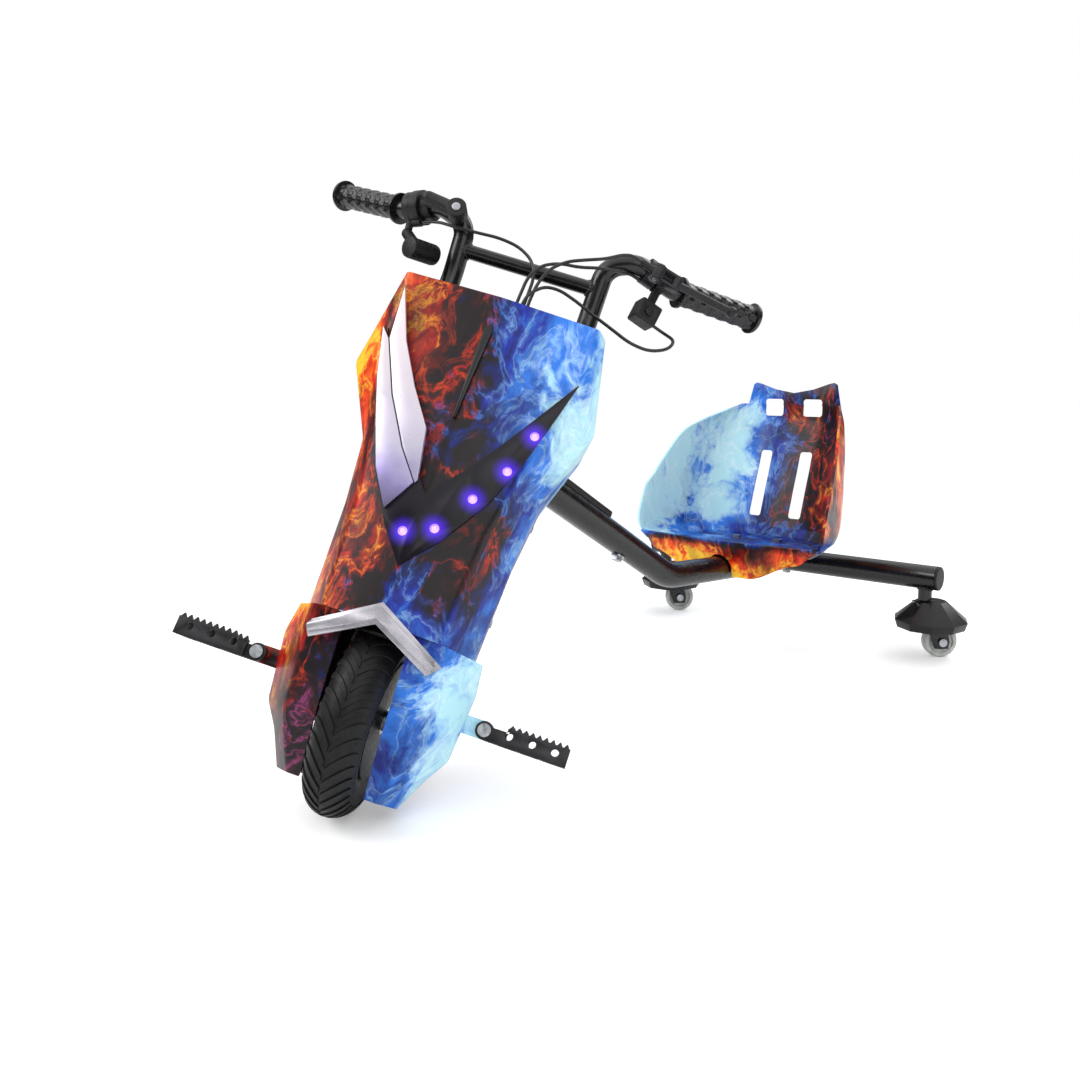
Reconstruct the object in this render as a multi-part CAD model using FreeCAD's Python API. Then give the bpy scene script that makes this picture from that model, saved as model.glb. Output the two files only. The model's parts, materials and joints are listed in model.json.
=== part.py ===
import FreeCAD, Part
import math
import os

V = FreeCAD.Vector

# Electric drift trike. Millimetres, +Z up, forward is -Y, the rider's left is +X.
# The front assembly is drawn standing upright and straight ahead, with its origin at the wheel's centre:
# "across" is X, "ahead" is -Y and "up" is the steering axis. It is then steered, raked and set on the ground.

# Layout
wheelbase = 930.0            # rear beam to the point where the steering axis meets the ground
rake = 30.0                  # steering axis from upright, degrees
steer_angle = 36.5           # front assembly turned to the rider's left as it stands, degrees
steer_lock = 50.0            # to each side of straight ahead, degrees
track_half = 234.0           # stem of a caster from the middle plane
running_gap = 0.3            # between faces that move past each other
fit_gap = 0.05               # radial gap of a pin or shaft in its bore
seat_gap = 0.2               # between a cover and the trim that lies on it

# Front wheel
tyre_radius = 102.0
tyre_width = 52.0
rim_radius = 54.0
hub_width = 44.0
hub_wall = 4.0
axle_radius = 6.0
axle_shoulder_radius = 10.0
stator_radius = 42.0
stator_width = 24.0
hub_bearing_radius = 14.0
hub_bearing_width = 6.0
axle_nut_radius = 10.0
axle_nut_height = 8.0

# Fork and head
leg_inner = 36.0             # inner face of a fork leg from the middle plane
leg_thick = 16.0
leg_depth = 30.0
leg_wall = 2.0
leg_below_axle = 20.0
crown_bottom = 262.0         # up the steering axis from the wheel's centre
crown_thick = 8.0
bearing_height = 6.0
head_length = 65.0
head_radius = 22.0
head_bore = 16.0
steerer_radius = 12.7
steerer_wall = 2.5
yoke_thick = 8.0
yoke_half = 92.0
yoke_depth = 40.0
steerer_nut_height = 9.0
steerer_nut_radius = 19.0

# Handlebar
bar_radius = 11.0
bar_wall = 1.8
crossbar_radius = 8.0
crossbar_wall = 1.5
riser_across = 79.0
riser_ahead = 14.0
bar_bend_radius = 24.0
bar_knee_radius = 25.0
bar_grip_radius = 30.0
crossbar_up = 497.0
crossbar_ahead = 33.0
bar_shoulder = (80.0, 40.0, 524.0)
bar_knee = (112.0, 46.0, 534.0)
grip_inner_end = (157.0, 25.0, 528.0)
grip_outer_end = (249.0, -25.0, 550.0)
grip_radius = 14.5
grip_flange_radius = 17.5
grip_flange_width = 6.0
grip_end_wall = 4.0

# Body covers
cover_wall = 3.0
cover_top = 424.0
cover_bottom = 80.0
trim_thick = 4.0
arch_width = 21.0
top_cover_thick = 3.0
rear_cover_gap = 0.3

# Foot pegs
peg_up = 22.0                # hinge above the wheel's centre
peg_ahead = 3.0
peg_hinge_across = 119.0
peg_length = 85.0
peg_width = 40.0
peg_height = 18.0
peg_tooth = 4.0
peg_teeth = 9
peg_tongue_thick = 16.0
peg_cheek_thick = 6.0
peg_pin_radius = 4.0
peg_fold = 80.0
peg_rail = 4.0
peg_hole_radius = 4.0
peg_hole_rise = 2.0          # holes above the middle of the rail
peg_step = 12.0              # plain run between the hinge and the first tooth

# Rear frame
beam_radius = 18.0
beam_wall = 2.5
beam_end_beyond_stem = 18.0
beam_half = track_half + beam_end_beyond_stem
beam_up = 122.0
cap_thick = 4.0
tube_radius = 18.0
tube_wall = 2.5
front_run = 432.0            # main tube from the steering axis to its bend
strip_width = 18.0
strip_height = 6.0
strip_length = 262.0
tube_bend_radius = 90.0

# Casters
caster_swivel = -50.0        # as they stand, degrees from trailing straight back
caster_trail = 24.0
caster_wheel_radius = 25.0
caster_wheel_width = 20.0
caster_axle_radius = 3.5
caster_fork_gap = 2.0
caster_plate = 3.0
caster_top_up = 80.0
caster_top_thick = 4.0
caster_pin_radius = 6.0
caster_stem_radius = 10.0
hood_offset = 10.0
hood_skirt_up = 46.0
hood_edge_up = 58.0
hood_top_up = 86.0
hood_edge_radius = 54.0
hood_skirt_radius = 50.0
hood_top_radius = 22.0
hood_wall = 3.0
hood_sides = 10

# Seat
seat_wall = 4.0
seat_floor_up = 164.0
seat_skirt_drop = 36.0
seat_plate_thick = 4.0
seat_bolt_radius = 4.0

# Controls
cable_radius = 1.75
clamp_wall = 4.0
throttle_along = 22.5
end_gap = 0.2
screw_radius = 2.0
screw_head_radius = 4.5
screw_places = [(-38.0, 128.0), (-34.0, 238.0), (-24.0, 384.0)]
# Routes of the leads after their first point, as (across, ahead, up)
throttle_route = [(-106, 48, 513), (-88, 55, 509), (-64, 55, 510), (-38, 53, 513), (-14, 54, 509), (5, 56, 497),
                  (14, 58, 478), (14.6, 58, 454), (14, 58, 430), (14, 58.4, 398)]
stop_route = [(99, 56, 514), (79, 60, 510), (56, 60, 503), (35, 62, 500), (18, 66, 489), (9.4, 67, 471),
              (8.4, 66, 448), (8, 66.4, 424), (8, 66, 396)]
brake_route = [(97, 79, 521), (82, 79, 511), (64, 77, 505), (44, 74, 498), (29, 72, 485), (21.4, 68, 466),
               (20, 66.4, 444), (20.4, 66, 422), (20, 66, 396)]
switch_route = [(176, 33, 467), (172, 45, 449), (154, 51, 438), (132, 52, 440), (108, 52, 450), (84, 53, 459),
                (64, 57, 466), (46, 66, 468), (31, 74, 463), (18, 77, 448), (14.4, 72, 430), (14, 71, 408),
                (14, 71.4, 390)]
lever_pull = 12.0            # degrees
throttle_turn = 40.0         # degrees
button_travel = 1.5

tyre_crown = tyre_width / 2
tyre_ring = tyre_radius - tyre_crown
steer = math.radians(steer_angle)
lean = math.radians(rake)

# The steered wheel leans, so the ground meets it off the bottom of its ring.
wheel_axis_rise = -math.sin(steer) * math.sin(lean)
wheel_up = tyre_ring * math.sqrt(1 - wheel_axis_rise ** 2) + tyre_crown
wheel_back = -wheelbase + wheel_up * math.tan(lean)
wheel_centre = V(0, wheel_back, wheel_up)
steering_axis = V(0, math.sin(lean), math.cos(lean))

tilt = FreeCAD.Placement(wheel_centre, FreeCAD.Rotation(V(1, 0, 0), -rake))
front_place = tilt * FreeCAD.Placement(V(0, 0, 0), FreeCAD.Rotation(V(0, 0, 1), steer_angle))

crown_top = crown_bottom + crown_thick
head_bottom = crown_top + running_gap + bearing_height
head_top = head_bottom + head_length
yoke_bottom = head_top + bearing_height + running_gap
yoke_top = yoke_bottom + yoke_thick
tube_up = (head_bottom + head_top) / 2
leg_outer = leg_inner + leg_thick

parts = {}
stems = []
brackets = []
peg_pins = []


def keep(name, shape):
    """Keep a shape that is drawn in the rear frame's place."""
    parts[name] = shape


def keep_front(name, shape):
    """Keep a shape of the front assembly, steered, raked and set on the ground."""
    moved = shape.copy()
    moved.Placement = front_place * moved.Placement
    parts[name] = moved


def at(across, ahead, up):
    """A point of the upright front assembly."""
    return V(across, -ahead, up)


def cylinder(radius, length, start, direction):
    return Part.makeCylinder(radius, length, start, direction)


def ring(outer, inner, length, start, direction):
    return cylinder(outer, length, start, direction).cut(cylinder(inner, length, start, direction))


def box(x0, x1, y0, y1, z0, z1):
    return Part.makeBox(x1 - x0, y1 - y0, z1 - z0, V(x0, y0, z0))


def front_box(across0, across1, ahead0, ahead1, up0, up1):
    return box(across0, across1, -ahead1, -ahead0, up0, up1)


def polygon(points):
    return Part.makePolygon(list(points) + [points[0]])


def prism(points, along):
    return Part.Face(polygon(points)).extrude(along)


def hexagon(radius, height, start, direction):
    corners = [V(radius * math.cos(math.radians(60 * i)), radius * math.sin(math.radians(60 * i)), 0)
               for i in range(6)]
    solid = prism(corners, V(0, 0, height))
    solid.Placement = FreeCAD.Placement(start, FreeCAD.Rotation(V(0, 0, 1), direction))
    return solid


def rounded_path(points, radii):
    """Straight runs joined by tangent arcs, one radius for each inner point."""
    edges = []
    last = points[0]
    for i in range(1, len(points) - 1):
        back = (points[i - 1] - points[i]).normalize()
        ahead = (points[i + 1] - points[i]).normalize()
        turn = math.pi - back.getAngle(ahead)
        reach = radii[i - 1] * math.tan(turn / 2)
        start = points[i] + back * reach
        end = points[i] + ahead * reach
        inward = (back + ahead).normalize()
        middle = points[i] + inward * (radii[i - 1] / math.cos(turn / 2) - radii[i - 1])
        edges.append(Part.LineSegment(last, start).toShape())
        edges.append(Part.Arc(start, middle, end).toShape())
        last = end
    edges.append(Part.LineSegment(last, points[-1]).toShape())
    return Part.Wire(edges)


def rod(path, radius, start, direction):
    """A round rod along a path."""
    circle = Part.Wire([Part.Circle(start, direction, radius).toShape()])
    return path.makePipeShell([circle], True, True)


def pipe(points, radii, outer, wall):
    """A round tube along straight runs and arcs."""
    path = rounded_path(points, radii)
    direction = points[1] - points[0]
    solid = rod(path, outer, points[0], direction)
    return solid.cut(rod(path, outer - wall, points[0], direction))


def offset_path(path, distance):
    """Move a flat line of points sideways, to the left of its travel."""
    out = []
    for i, (x, y) in enumerate(path):
        normals = []
        for j in (i - 1, i):
            if 0 <= j < len(path) - 1:
                dx = path[j + 1][0] - path[j][0]
                dy = path[j + 1][1] - path[j][1]
                size = math.hypot(dx, dy)
                normals.append((-dy / size, dx / size))
        nx = sum(n[0] for n in normals)
        ny = sum(n[1] for n in normals)
        size = (nx * nx + ny * ny) / len(normals)
        out.append((x + distance * nx / size, y + distance * ny / size))
    return out


def mirrored(half):
    """A line from the right end over the middle to the left end, from its left half."""
    left = [p for p in half if p[0] > 0]
    middle = [p for p in half if p[0] == 0]
    return [(-x, y) for x, y in reversed(left)] + middle + left


def wall_loft(levels, inside, outside, point):
    """A thin wall through lines at several heights, between two sideways distances."""
    wires = []
    for up, path in levels:
        outer = offset_path(path, outside)
        inner = offset_path(path, inside)
        wires.append(polygon([point(x, y, up) for x, y in outer + inner[::-1]]))
    return Part.makeLoft(wires, True, True)


def solid_loft(levels, point):
    wires = [polygon([point(x, y, up) for x, y in path]) for up, path in levels]
    return Part.makeLoft(wires, True, True)


# Body covers: height, then middle, front edge, widest edge and rear edge as (across, ahead)
cover_levels = [
    (cover_bottom, [(0, 97), (58, 82), (88, 20), (80, -58)]),
    (190.0, [(0, 101), (64, 87), (93, 22), (84, -56)]),
    (258.0, [(0, 103), (76, 89), (99, 30), (92, -50)]),
    (328.0, [(0, 104), (100, 89), (130, 57), (117, -42)]),
    (cover_top, [(0, 101), (103, 95), (110, 74), (102, -36)]),
]
# Wheel side covers: height, then front inner, front edge, widest edge, rear edge and rear inner
side_levels = [
    (-74.0, [(33, 22), (45, 24), (63, 0), (58, -28), (44, -34)]),
    (-40.0, [(33, 42), (58, 41), (80, 0), (74, -42), (54, -50)]),
    (-17.0, [(33, 52), (64, 50), (95, 5), (88, -48), (60, -56)]),
    (50.0, [(33, 76), (66, 71), (101, 20), (93, -54), (60, -62)]),
    (cover_bottom - seat_gap, [(33, 82), (66, 77), (97, 20), (90, -54), (60, -62)]),
]
# The wheel arch, as (across, up)
arch_inner = [(58.0, 48.0), (0.0, 77.0)]
# The V on the front, outer and inner edge as (across, up)
v_outer = [(102, 361), (88, 308), (75, 263), (58, 218), (29, 170), (0, 134)]
v_inner = [(0, 206), (36, 252), (72, 311)]
blade_top = [(-97, 404), (-75, 350), (-49, 306), (-22, 268), (-11, 216)]
blade_seam = [(-13, 213), (-37, 243), (-67, 292), (-92, 347)]
blade_low = [(-103, 358), (-90, 308), (-74, 263), (-56, 218), (-33, 182)]
led_places = [(-7.4, 166), (19.6, 178), (43, 217), (64.7, 254), (78, 296)]
led_radius = 4.5
fin_top_up = 391.0
fin_bottom_up = 286.0
fin_top_width = 9.0
fin_bottom_width = 3.0
riser_hole_gap = 1.5


def full(levels):
    return [(up, mirrored(half)) for up, half in levels]


def front_prism(outline, near, far):
    """A flat outline of the front, as (across, up), carried from one distance ahead to another."""
    return prism([at(x, near, z) for x, z in outline], at(0, far - near, 0))


def front_cover():
    wall = wall_loft(full(cover_levels), -cover_wall, 0, at)
    low = cover_bottom - 1
    arch = [(-arch_inner[0][0], low)] + [(-x, z) for x, z in arch_inner] + [arch_inner[0], (arch_inner[0][0], low)]
    arch = [p for i, p in enumerate(arch) if p not in arch[:i]]
    wall = wall.cut(front_prism(arch, 30, 130))
    inside = solid_loft([(up, offset_path(mirrored(half), -cover_wall + 0.5)) for up, half in cover_levels], at)
    for side in (-1, 1):
        boss = front_box(yoke_half + seat_gap, 140, 4, 24, yoke_bottom - 4, yoke_top + 4)
        if side < 0:
            boss = boss.mirror(V(0, 0, 0), V(1, 0, 0))
        wall = wall.fuse(boss.common(inside))
    return wall.cut(screw_holes())


def trim_outline(gap):
    """The inverted V's outline, grown by a gap."""
    (foot, foot_up), (_, top_up) = arch_inner
    return [[(-foot - gap, foot_up - gap), (0, top_up - gap), (foot + gap, foot_up - gap),
             (foot + 9 + gap, foot_up + 13), (0, top_up + arch_width + gap), (-foot - 9 - gap, foot_up + 13)]]


def arch_trim():
    """The raised inverted V over the wheel, standing on the front cover's lower edge."""
    (foot, foot_up), (_, top_up) = arch_inner
    rise = arch_width
    outline = trim_outline(0)[0]
    levels = [(foot_up - 2, cover_levels[0][1])] + cover_levels[:2]
    outer = wall_loft(full(levels), seat_gap, trim_thick, at)
    bevel = wall_loft(full(levels), trim_thick - 0.01, trim_thick + 3, at)
    inset = 4.5
    ridge = [(-foot - 2, foot_up + inset), (0, top_up + inset), (foot + 2, foot_up + inset),
             (foot + 6, foot_up + 13 - inset / 2), (0, top_up + rise - inset), (-foot - 6, foot_up + 13 - inset / 2)]
    return outer.common(front_prism(outline, 40, 130)).fuse(bevel.common(front_prism(ridge, 40, 130)))


def v_panel():
    left = v_outer
    right = [(-x, z) for x, z in reversed(v_outer[:-1])]
    inner = [(-x, z) for x, z in reversed(v_inner[1:])] + v_inner
    outline = left + right + inner
    wall = wall_loft(full(cover_levels), seat_gap, trim_thick, at)
    panel = wall.common(front_prism(outline, 40, 130))
    for across, up in led_places:
        panel = panel.cut(cylinder(led_radius + seat_gap, 60, at(across, 60, up), at(0, 1, 0)))
    return panel


def blades():
    """The two bright blades that lie on the rider's right arm of the V."""
    thick = trim_thick + 0.4
    wall = wall_loft(full(cover_levels), thick, thick + 3.5, at)
    upper = front_prism(blade_top + blade_seam, 40, 130)
    lower = front_prism([(x - 1.2, z) for x, z in blade_seam] + blade_low, 40, 130)
    foot = wall_loft(full(cover_levels), seat_gap, thick, at)
    panel = v_panel()
    upper_blade = wall.common(upper).fuse(foot.common(upper).cut(grown_v()))
    lower_blade = wall.common(lower)
    return upper_blade, lower_blade


def grown_v():
    """The V panel's prism with a gap round it."""
    gap = 0.4
    left = [(v_outer[0][0] + gap, v_outer[0][1] + 3 * gap)] + [(x + gap, z - gap) for x, z in v_outer[1:]]
    right = [(-x, z) for x, z in reversed(left)]
    inner = [(-x + gap, z + gap) for x, z in reversed(v_inner[1:])] + [(0, v_inner[0][1] + 2 * gap)]
    inner += [(x - gap, z + gap) for x, z in v_inner[1:]]
    return front_prism(left + right + inner, 40, 130)


def led_lenses():
    lenses = []
    for across, up in led_places:
        ahead = surface_ahead(across, up)
        top = ahead + trim_thick + 1
        body = cylinder(led_radius, trim_thick - 0.6, at(across, ahead + 1.6, up), at(0, 1, 0))
        cap = Part.makeCone(led_radius, led_radius * 0.5, 1.8, at(across, top, up), at(0, 1, 0))
        lenses.append(body.fuse(cap))
    return Part.makeCompound(lenses)


def surface_ahead(across, up):
    """How far ahead the front cover's outer face lies at a point of its front."""
    for (low, a), (high, b) in zip(cover_levels, cover_levels[1:]):
        if low <= up <= high:
            t = (up - low) / (high - low)
            middle = a[0][1] + t * (b[0][1] - a[0][1])
            edge_across = a[1][0] + t * (b[1][0] - a[1][0])
            edge = a[1][1] + t * (b[1][1] - a[1][1])
            return middle + (edge - middle) * abs(across) / edge_across
    return cover_levels[0][1][0][1]


def front_fin():
    half_top = fin_top_width / 2
    half_low = fin_bottom_width / 2
    outline = [(-half_low, fin_bottom_up), (half_low, fin_bottom_up), (half_top, fin_top_up - 8), (0, fin_top_up),
               (-half_top, fin_top_up - 8)]
    wall = wall_loft(full(cover_levels), seat_gap, trim_thick + 2, at)
    return wall.common(front_prism(outline, 40, 130))


def rear_lines(levels, low, high):
    """The rear corners of the covers from one height to another."""
    out = []
    for up in [low] + [z for z, _ in levels if low < z < high] + [high]:
        for (z0, a), (z1, b) in zip(levels, levels[1:]):
            if z0 <= up <= z1:
                t = (up - z0) / (z1 - z0)
                out.append((up, a[3][0] + t * (b[3][0] - a[3][0]), a[3][1] + t * (b[3][1] - a[3][1])))
                break
    return out


def rear_cover(low, high):
    """A plate with turned edges that closes the back between the side edges."""
    wires = []
    for up, across, ahead in rear_lines(cover_levels, low, high):
        half = across - cover_wall - rear_cover_gap
        path = mirrored([(0, ahead - 8), (half - 22, ahead - 6), (half, ahead + 8), (half, ahead + 24)])
        path = [(x, y) for x, y in path]
        outer = offset_path(path, 0)
        inner = offset_path(path, cover_wall)
        wires.append(polygon([at(x, y, up) for x, y in outer + inner[::-1]]))
    return Part.makeLoft(wires, True, True).cut(screw_holes())


def top_cover():
    inner = offset_path(mirrored(cover_levels[-1][1]), -cover_wall - 0.5)
    plate = prism([at(x, y, cover_top - top_cover_thick - 2) for x, y in inner], V(0, 0, top_cover_thick))
    for side in (-1, 1):
        hole = cylinder(bar_radius + riser_hole_gap, 60, riser_point(side, cover_top - 30), riser_direction(side))
        plate = plate.cut(hole)
    return plate.cut(cylinder(grommet_radius, 30, at(grommet_across, grommet_ahead, cover_top - 20), V(0, 0, 1)))


grommet_across = 14.0
grommet_ahead = 62.0
grommet_radius = 13.0
riser_elbow_up = 470.0
riser_elbow_ahead = 22.0


def riser_direction(side):
    low = at(side * riser_across, riser_ahead, yoke_top)
    high = at(side * riser_across, riser_elbow_ahead, riser_elbow_up)
    return (high - low).normalize()


def riser_point(side, up):
    low = at(side * riser_across, riser_ahead, yoke_top)
    direction = riser_direction(side)
    return low + direction * ((up - yoke_top) / direction.z)


def side_cover(side):
    levels = [(up, path) for up, path in side_levels]
    wall = wall_loft(levels, -cover_wall, 0, at) if side > 0 else None
    if side < 0:
        flipped = [(up, [(-x, y) for x, y in reversed(path)]) for up, path in side_levels]
        wall = wall_loft(flipped, -cover_wall, 0, at)
    slot = front_box(70, 130, peg_ahead - peg_tongue_thick / 2 - 1, peg_ahead + peg_tongue_thick / 2 + 1,
                     peg_up - 13, peg_up + 13)
    inside = solid_loft([(up, offset_path(path, -cover_wall + 0.5)) for up, path in side_levels], at)
    boss = inside.common(front_box(leg_outer + seat_gap, 120, -10, 10, peg_up + 34, peg_up + 48))
    for outline in trim_outline(0.5):
        wall = wall.cut(front_prism(outline, 55, 130))
    if side < 0:
        slot = slot.mirror(V(0, 0, 0), V(1, 0, 0))
        boss = boss.mirror(V(0, 0, 0), V(1, 0, 0))
    return wall.fuse(boss).cut(slot)


def mudguard():
    """The dark liner that arches over the tyre between the fork legs."""
    inner = tyre_radius + 5
    outer = inner + 2.5
    half = leg_inner - 3.5
    shell = ring(outer, inner, 2 * half, at(-half, 0, 0), V(1, 0, 0))
    keep_zone = front_box(-half, half, -outer, 82, 36, outer)
    shell = shell.common(keep_zone)
    ear = front_box(leg_inner - 6, leg_inner - seat_gap, -8, 8, inner - 2, outer + 12)
    ears = ear.fuse(ear.mirror(V(0, 0, 0), V(1, 0, 0)))
    clear = cylinder(inner, 2 * leg_inner, at(-leg_inner, 0, 0), V(1, 0, 0))
    return shell.fuse(ears).cut(clear)


def fork():
    """Two legs, the crown and the steerer, welded into one."""
    leg = front_box(leg_inner, leg_outer, -leg_depth / 2, leg_depth / 2, -leg_below_axle, crown_bottom)
    core = front_box(leg_inner + leg_wall, leg_outer - leg_wall, -leg_depth / 2 + leg_wall,
                     leg_depth / 2 - leg_wall, -leg_below_axle + leg_wall, crown_bottom)
    leg = leg.cut(core)
    legs = leg.fuse(leg.mirror(V(0, 0, 0), V(1, 0, 0)))
    crown = front_box(-leg_outer, leg_outer, -leg_depth / 2, leg_depth / 2, crown_bottom, crown_top)
    shaft_length = yoke_top + steerer_nut_height + 2 - crown_bottom
    shaft = cylinder(steerer_radius, shaft_length, at(0, 0, crown_bottom), V(0, 0, 1))
    solid = legs.fuse(crown).fuse(shaft)
    solid = solid.cut(cylinder(steerer_radius - steerer_wall, shaft_length, at(0, 0, crown_bottom), V(0, 0, 1)))
    return solid.cut(cylinder(axle_radius + fit_gap, 2 * leg_outer + 10, at(-leg_outer - 5, 0, 0), V(1, 0, 0)))


def yoke():
    """The upper plate that the steerer and both bar risers stand in."""
    plate = front_box(-yoke_half, yoke_half, riser_ahead - yoke_depth + 16, riser_ahead + 16, yoke_bottom, yoke_top)
    return plate.cut(cylinder(steerer_radius + fit_gap, 40, at(0, 0, yoke_bottom - 10), V(0, 0, 1)))


def wheel_parts():
    half = hub_width / 2
    outer = cylinder(rim_radius, hub_width, at(-half, 0, 0), V(1, 0, 0))
    cavity = cylinder(rim_radius - hub_wall - 4, hub_width - hub_wall, at(-half, 0, 0), V(1, 0, 0))
    bore = cylinder(hub_bearing_radius, 2 * hub_width, at(-hub_width, 0, 0), V(1, 0, 0))
    lip = ring(rim_radius + 5, rim_radius - 1, 3, at(half - 3, 0, 0), V(1, 0, 0))
    lips = lip.fuse(lip.mirror(V(0, 0, 0), V(1, 0, 0)))
    shell = outer.cut(cavity).fuse(lips).cut(bore)
    cover = cylinder(rim_radius - hub_wall - 4 - seat_gap / 2, hub_wall, at(-half, 0, 0), V(1, 0, 0)).cut(bore)
    tyre = Part.makeTorus(tyre_ring, tyre_crown, V(0, 0, 0), V(1, 0, 0))
    seat = cylinder(rim_radius + seat_gap / 2, tyre_width, at(-tyre_width / 2, 0, 0), V(1, 0, 0))
    grown = ring(rim_radius + 5.2, rim_radius - 1, 40, at(half - 3.2, 0, 0), V(1, 0, 0))
    tyre = tyre.cut(seat).cut(grown).cut(grown.mirror(V(0, 0, 0), V(1, 0, 0)))
    keep_front("hub_shell", shell)
    keep_front("hub_cover", cover)
    keep_front("front_tyre", tyre)

    bearings = []
    for side in (-1, 1):
        start = side * (half - hub_bearing_width / 2) - hub_bearing_width / 2
        inner = axle_shoulder_radius + fit_gap
        bearings.append(ring(hub_bearing_radius - seat_gap / 2, inner, hub_bearing_width, at(start, 0, 0), V(1, 0, 0)))
    keep_front("hub_bearings", Part.makeCompound(bearings))

    thin = cylinder(axle_radius, 2 * (leg_outer + axle_nut_height + 3), at(-leg_outer - axle_nut_height - 3, 0, 0),
                    V(1, 0, 0))
    thick = cylinder(axle_shoulder_radius, 2 * (leg_inner - seat_gap), at(-leg_inner + seat_gap, 0, 0), V(1, 0, 0))
    keep_front("front_axle", thin.fuse(thick))
    stator = ring(stator_radius, axle_shoulder_radius, stator_width, at(-stator_width / 2, 0, 0), V(1, 0, 0))
    slots = [cylinder(3.2, stator_width, at(-stator_width / 2, (stator_radius - 3) * math.cos(a),
                                            (stator_radius - 3) * math.sin(a)), V(1, 0, 0))
             for a in [math.radians(20 * i) for i in range(18)]]
    keep_front("motor_stator", stator.cut(Part.makeCompound(slots)))
    nuts = []
    for side in (-1, 1):
        nut = hexagon(axle_nut_radius, axle_nut_height, at(side * leg_outer, 0, 0), V(side, 0, 0))
        nuts.append(nut.cut(cylinder(axle_radius, 400, at(-200, 0, 0), V(1, 0, 0))))
    keep_front("axle_nuts", Part.makeCompound(nuts))


def head_parts():
    """The parts of the rear frame on the steering axis, drawn straight ahead."""
    tube = ring(head_radius, head_bore, head_length, V(0, 0, head_bottom), V(0, 0, 1))
    lower = ring(head_radius, steerer_radius + fit_gap, bearing_height, V(0, 0, crown_top + running_gap), V(0, 0, 1))
    upper = ring(head_radius, steerer_radius + fit_gap, bearing_height, V(0, 0, head_top), V(0, 0, 1))
    bearings = Part.makeCompound([lower, upper])
    for name, shape in (("head_tube", tube), ("head_bearings", bearings)):
        shape.Placement = tilt * shape.Placement
        keep(name, shape)


def main_tube():
    start = wheel_centre + steering_axis * tube_up
    back = V(0, math.cos(lean), -math.sin(lean))
    bend = start + back * front_run
    end = V(0, 0, beam_up)
    solid = pipe([start, bend, end], [tube_bend_radius], tube_radius, tube_wall)
    head = cylinder(head_radius, 3 * head_length, start - steering_axis * head_length * 1.5, steering_axis)
    beam = cylinder(beam_radius, 200, V(-100, 0, beam_up), V(1, 0, 0))
    beyond = box(-60, 60, 0, 60, 0, 300)
    solid = solid.cut(head).cut(beam).cut(beyond)
    solid = max(solid.Solids, key=lambda s: s.Volume)
    keep("main_tube", solid)

    strip = box(-strip_width / 2, strip_width / 2, head_radius + 1, strip_length, 0, tube_radius + strip_height)
    strip = strip.cut(cylinder(tube_radius + 0.05, strip_length + 50, V(0, 0, 0), V(0, 1, 0)))
    strip = strip.makeFillet(2.0, [e for e in strip.Edges if abs(e.BoundBox.ZMin - e.BoundBox.ZMax) < 0.01
                                   and e.BoundBox.ZMin > tube_radius + strip_height - 1
                                   and e.BoundBox.YLength > 100])
    strip.Placement = tilt * FreeCAD.Placement(V(0, 0, tube_up), FreeCAD.Rotation())
    keep("cable_strip", strip)

    place = start + back * (front_run - 120)
    down = V(0, -math.sin(lean), -math.cos(lean))
    bolt = hexagon(7, 6, place + down * (tube_radius + 0.1), down)
    washer = cylinder(9, 1.5, place + down * (tube_radius - 0.6), down)
    around = cylinder(tube_radius + 0.05, 200, place - back * 100, back)
    under = V(0, 9.5, beam_up - beam_radius)
    second = hexagon(7, 6, under, V(0, 0, -1)).fuse(cylinder(8, 7, under, V(0, 0, 1)))
    beam = cylinder(beam_radius + 0.05, 200, V(-100, 0, beam_up), V(1, 0, 0))
    return [bolt.fuse(washer).cut(around), second.cut(beam)]


def rear_beam():
    beam = ring(beam_radius, beam_radius - beam_wall, 2 * beam_half, V(-beam_half, 0, beam_up), V(1, 0, 0))
    keep("rear_beam", beam)
    caps = []
    for side in (-1, 1):
        disc = cylinder(beam_radius, cap_thick, V(side * beam_half, 0, beam_up), V(side, 0, 0))
        edges = [e for e in disc.Edges if abs(e.CenterOfMass.x) > beam_half + cap_thick - 0.1 and e.Length > 50]
        disc = disc.makeFillet(2.0, edges)
        plug = cylinder(beam_radius - beam_wall - seat_gap / 2, 12, V(side * beam_half, 0, beam_up), V(-side, 0, 0))
        caps.append(disc.fuse(plug))
    keep("beam_end_caps", Part.makeCompound(caps))


def caster_place(side):
    spot = V(side * track_half, 0, 0)
    return FreeCAD.Placement(spot, FreeCAD.Rotation(V(0, 0, 1), caster_swivel))


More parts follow.
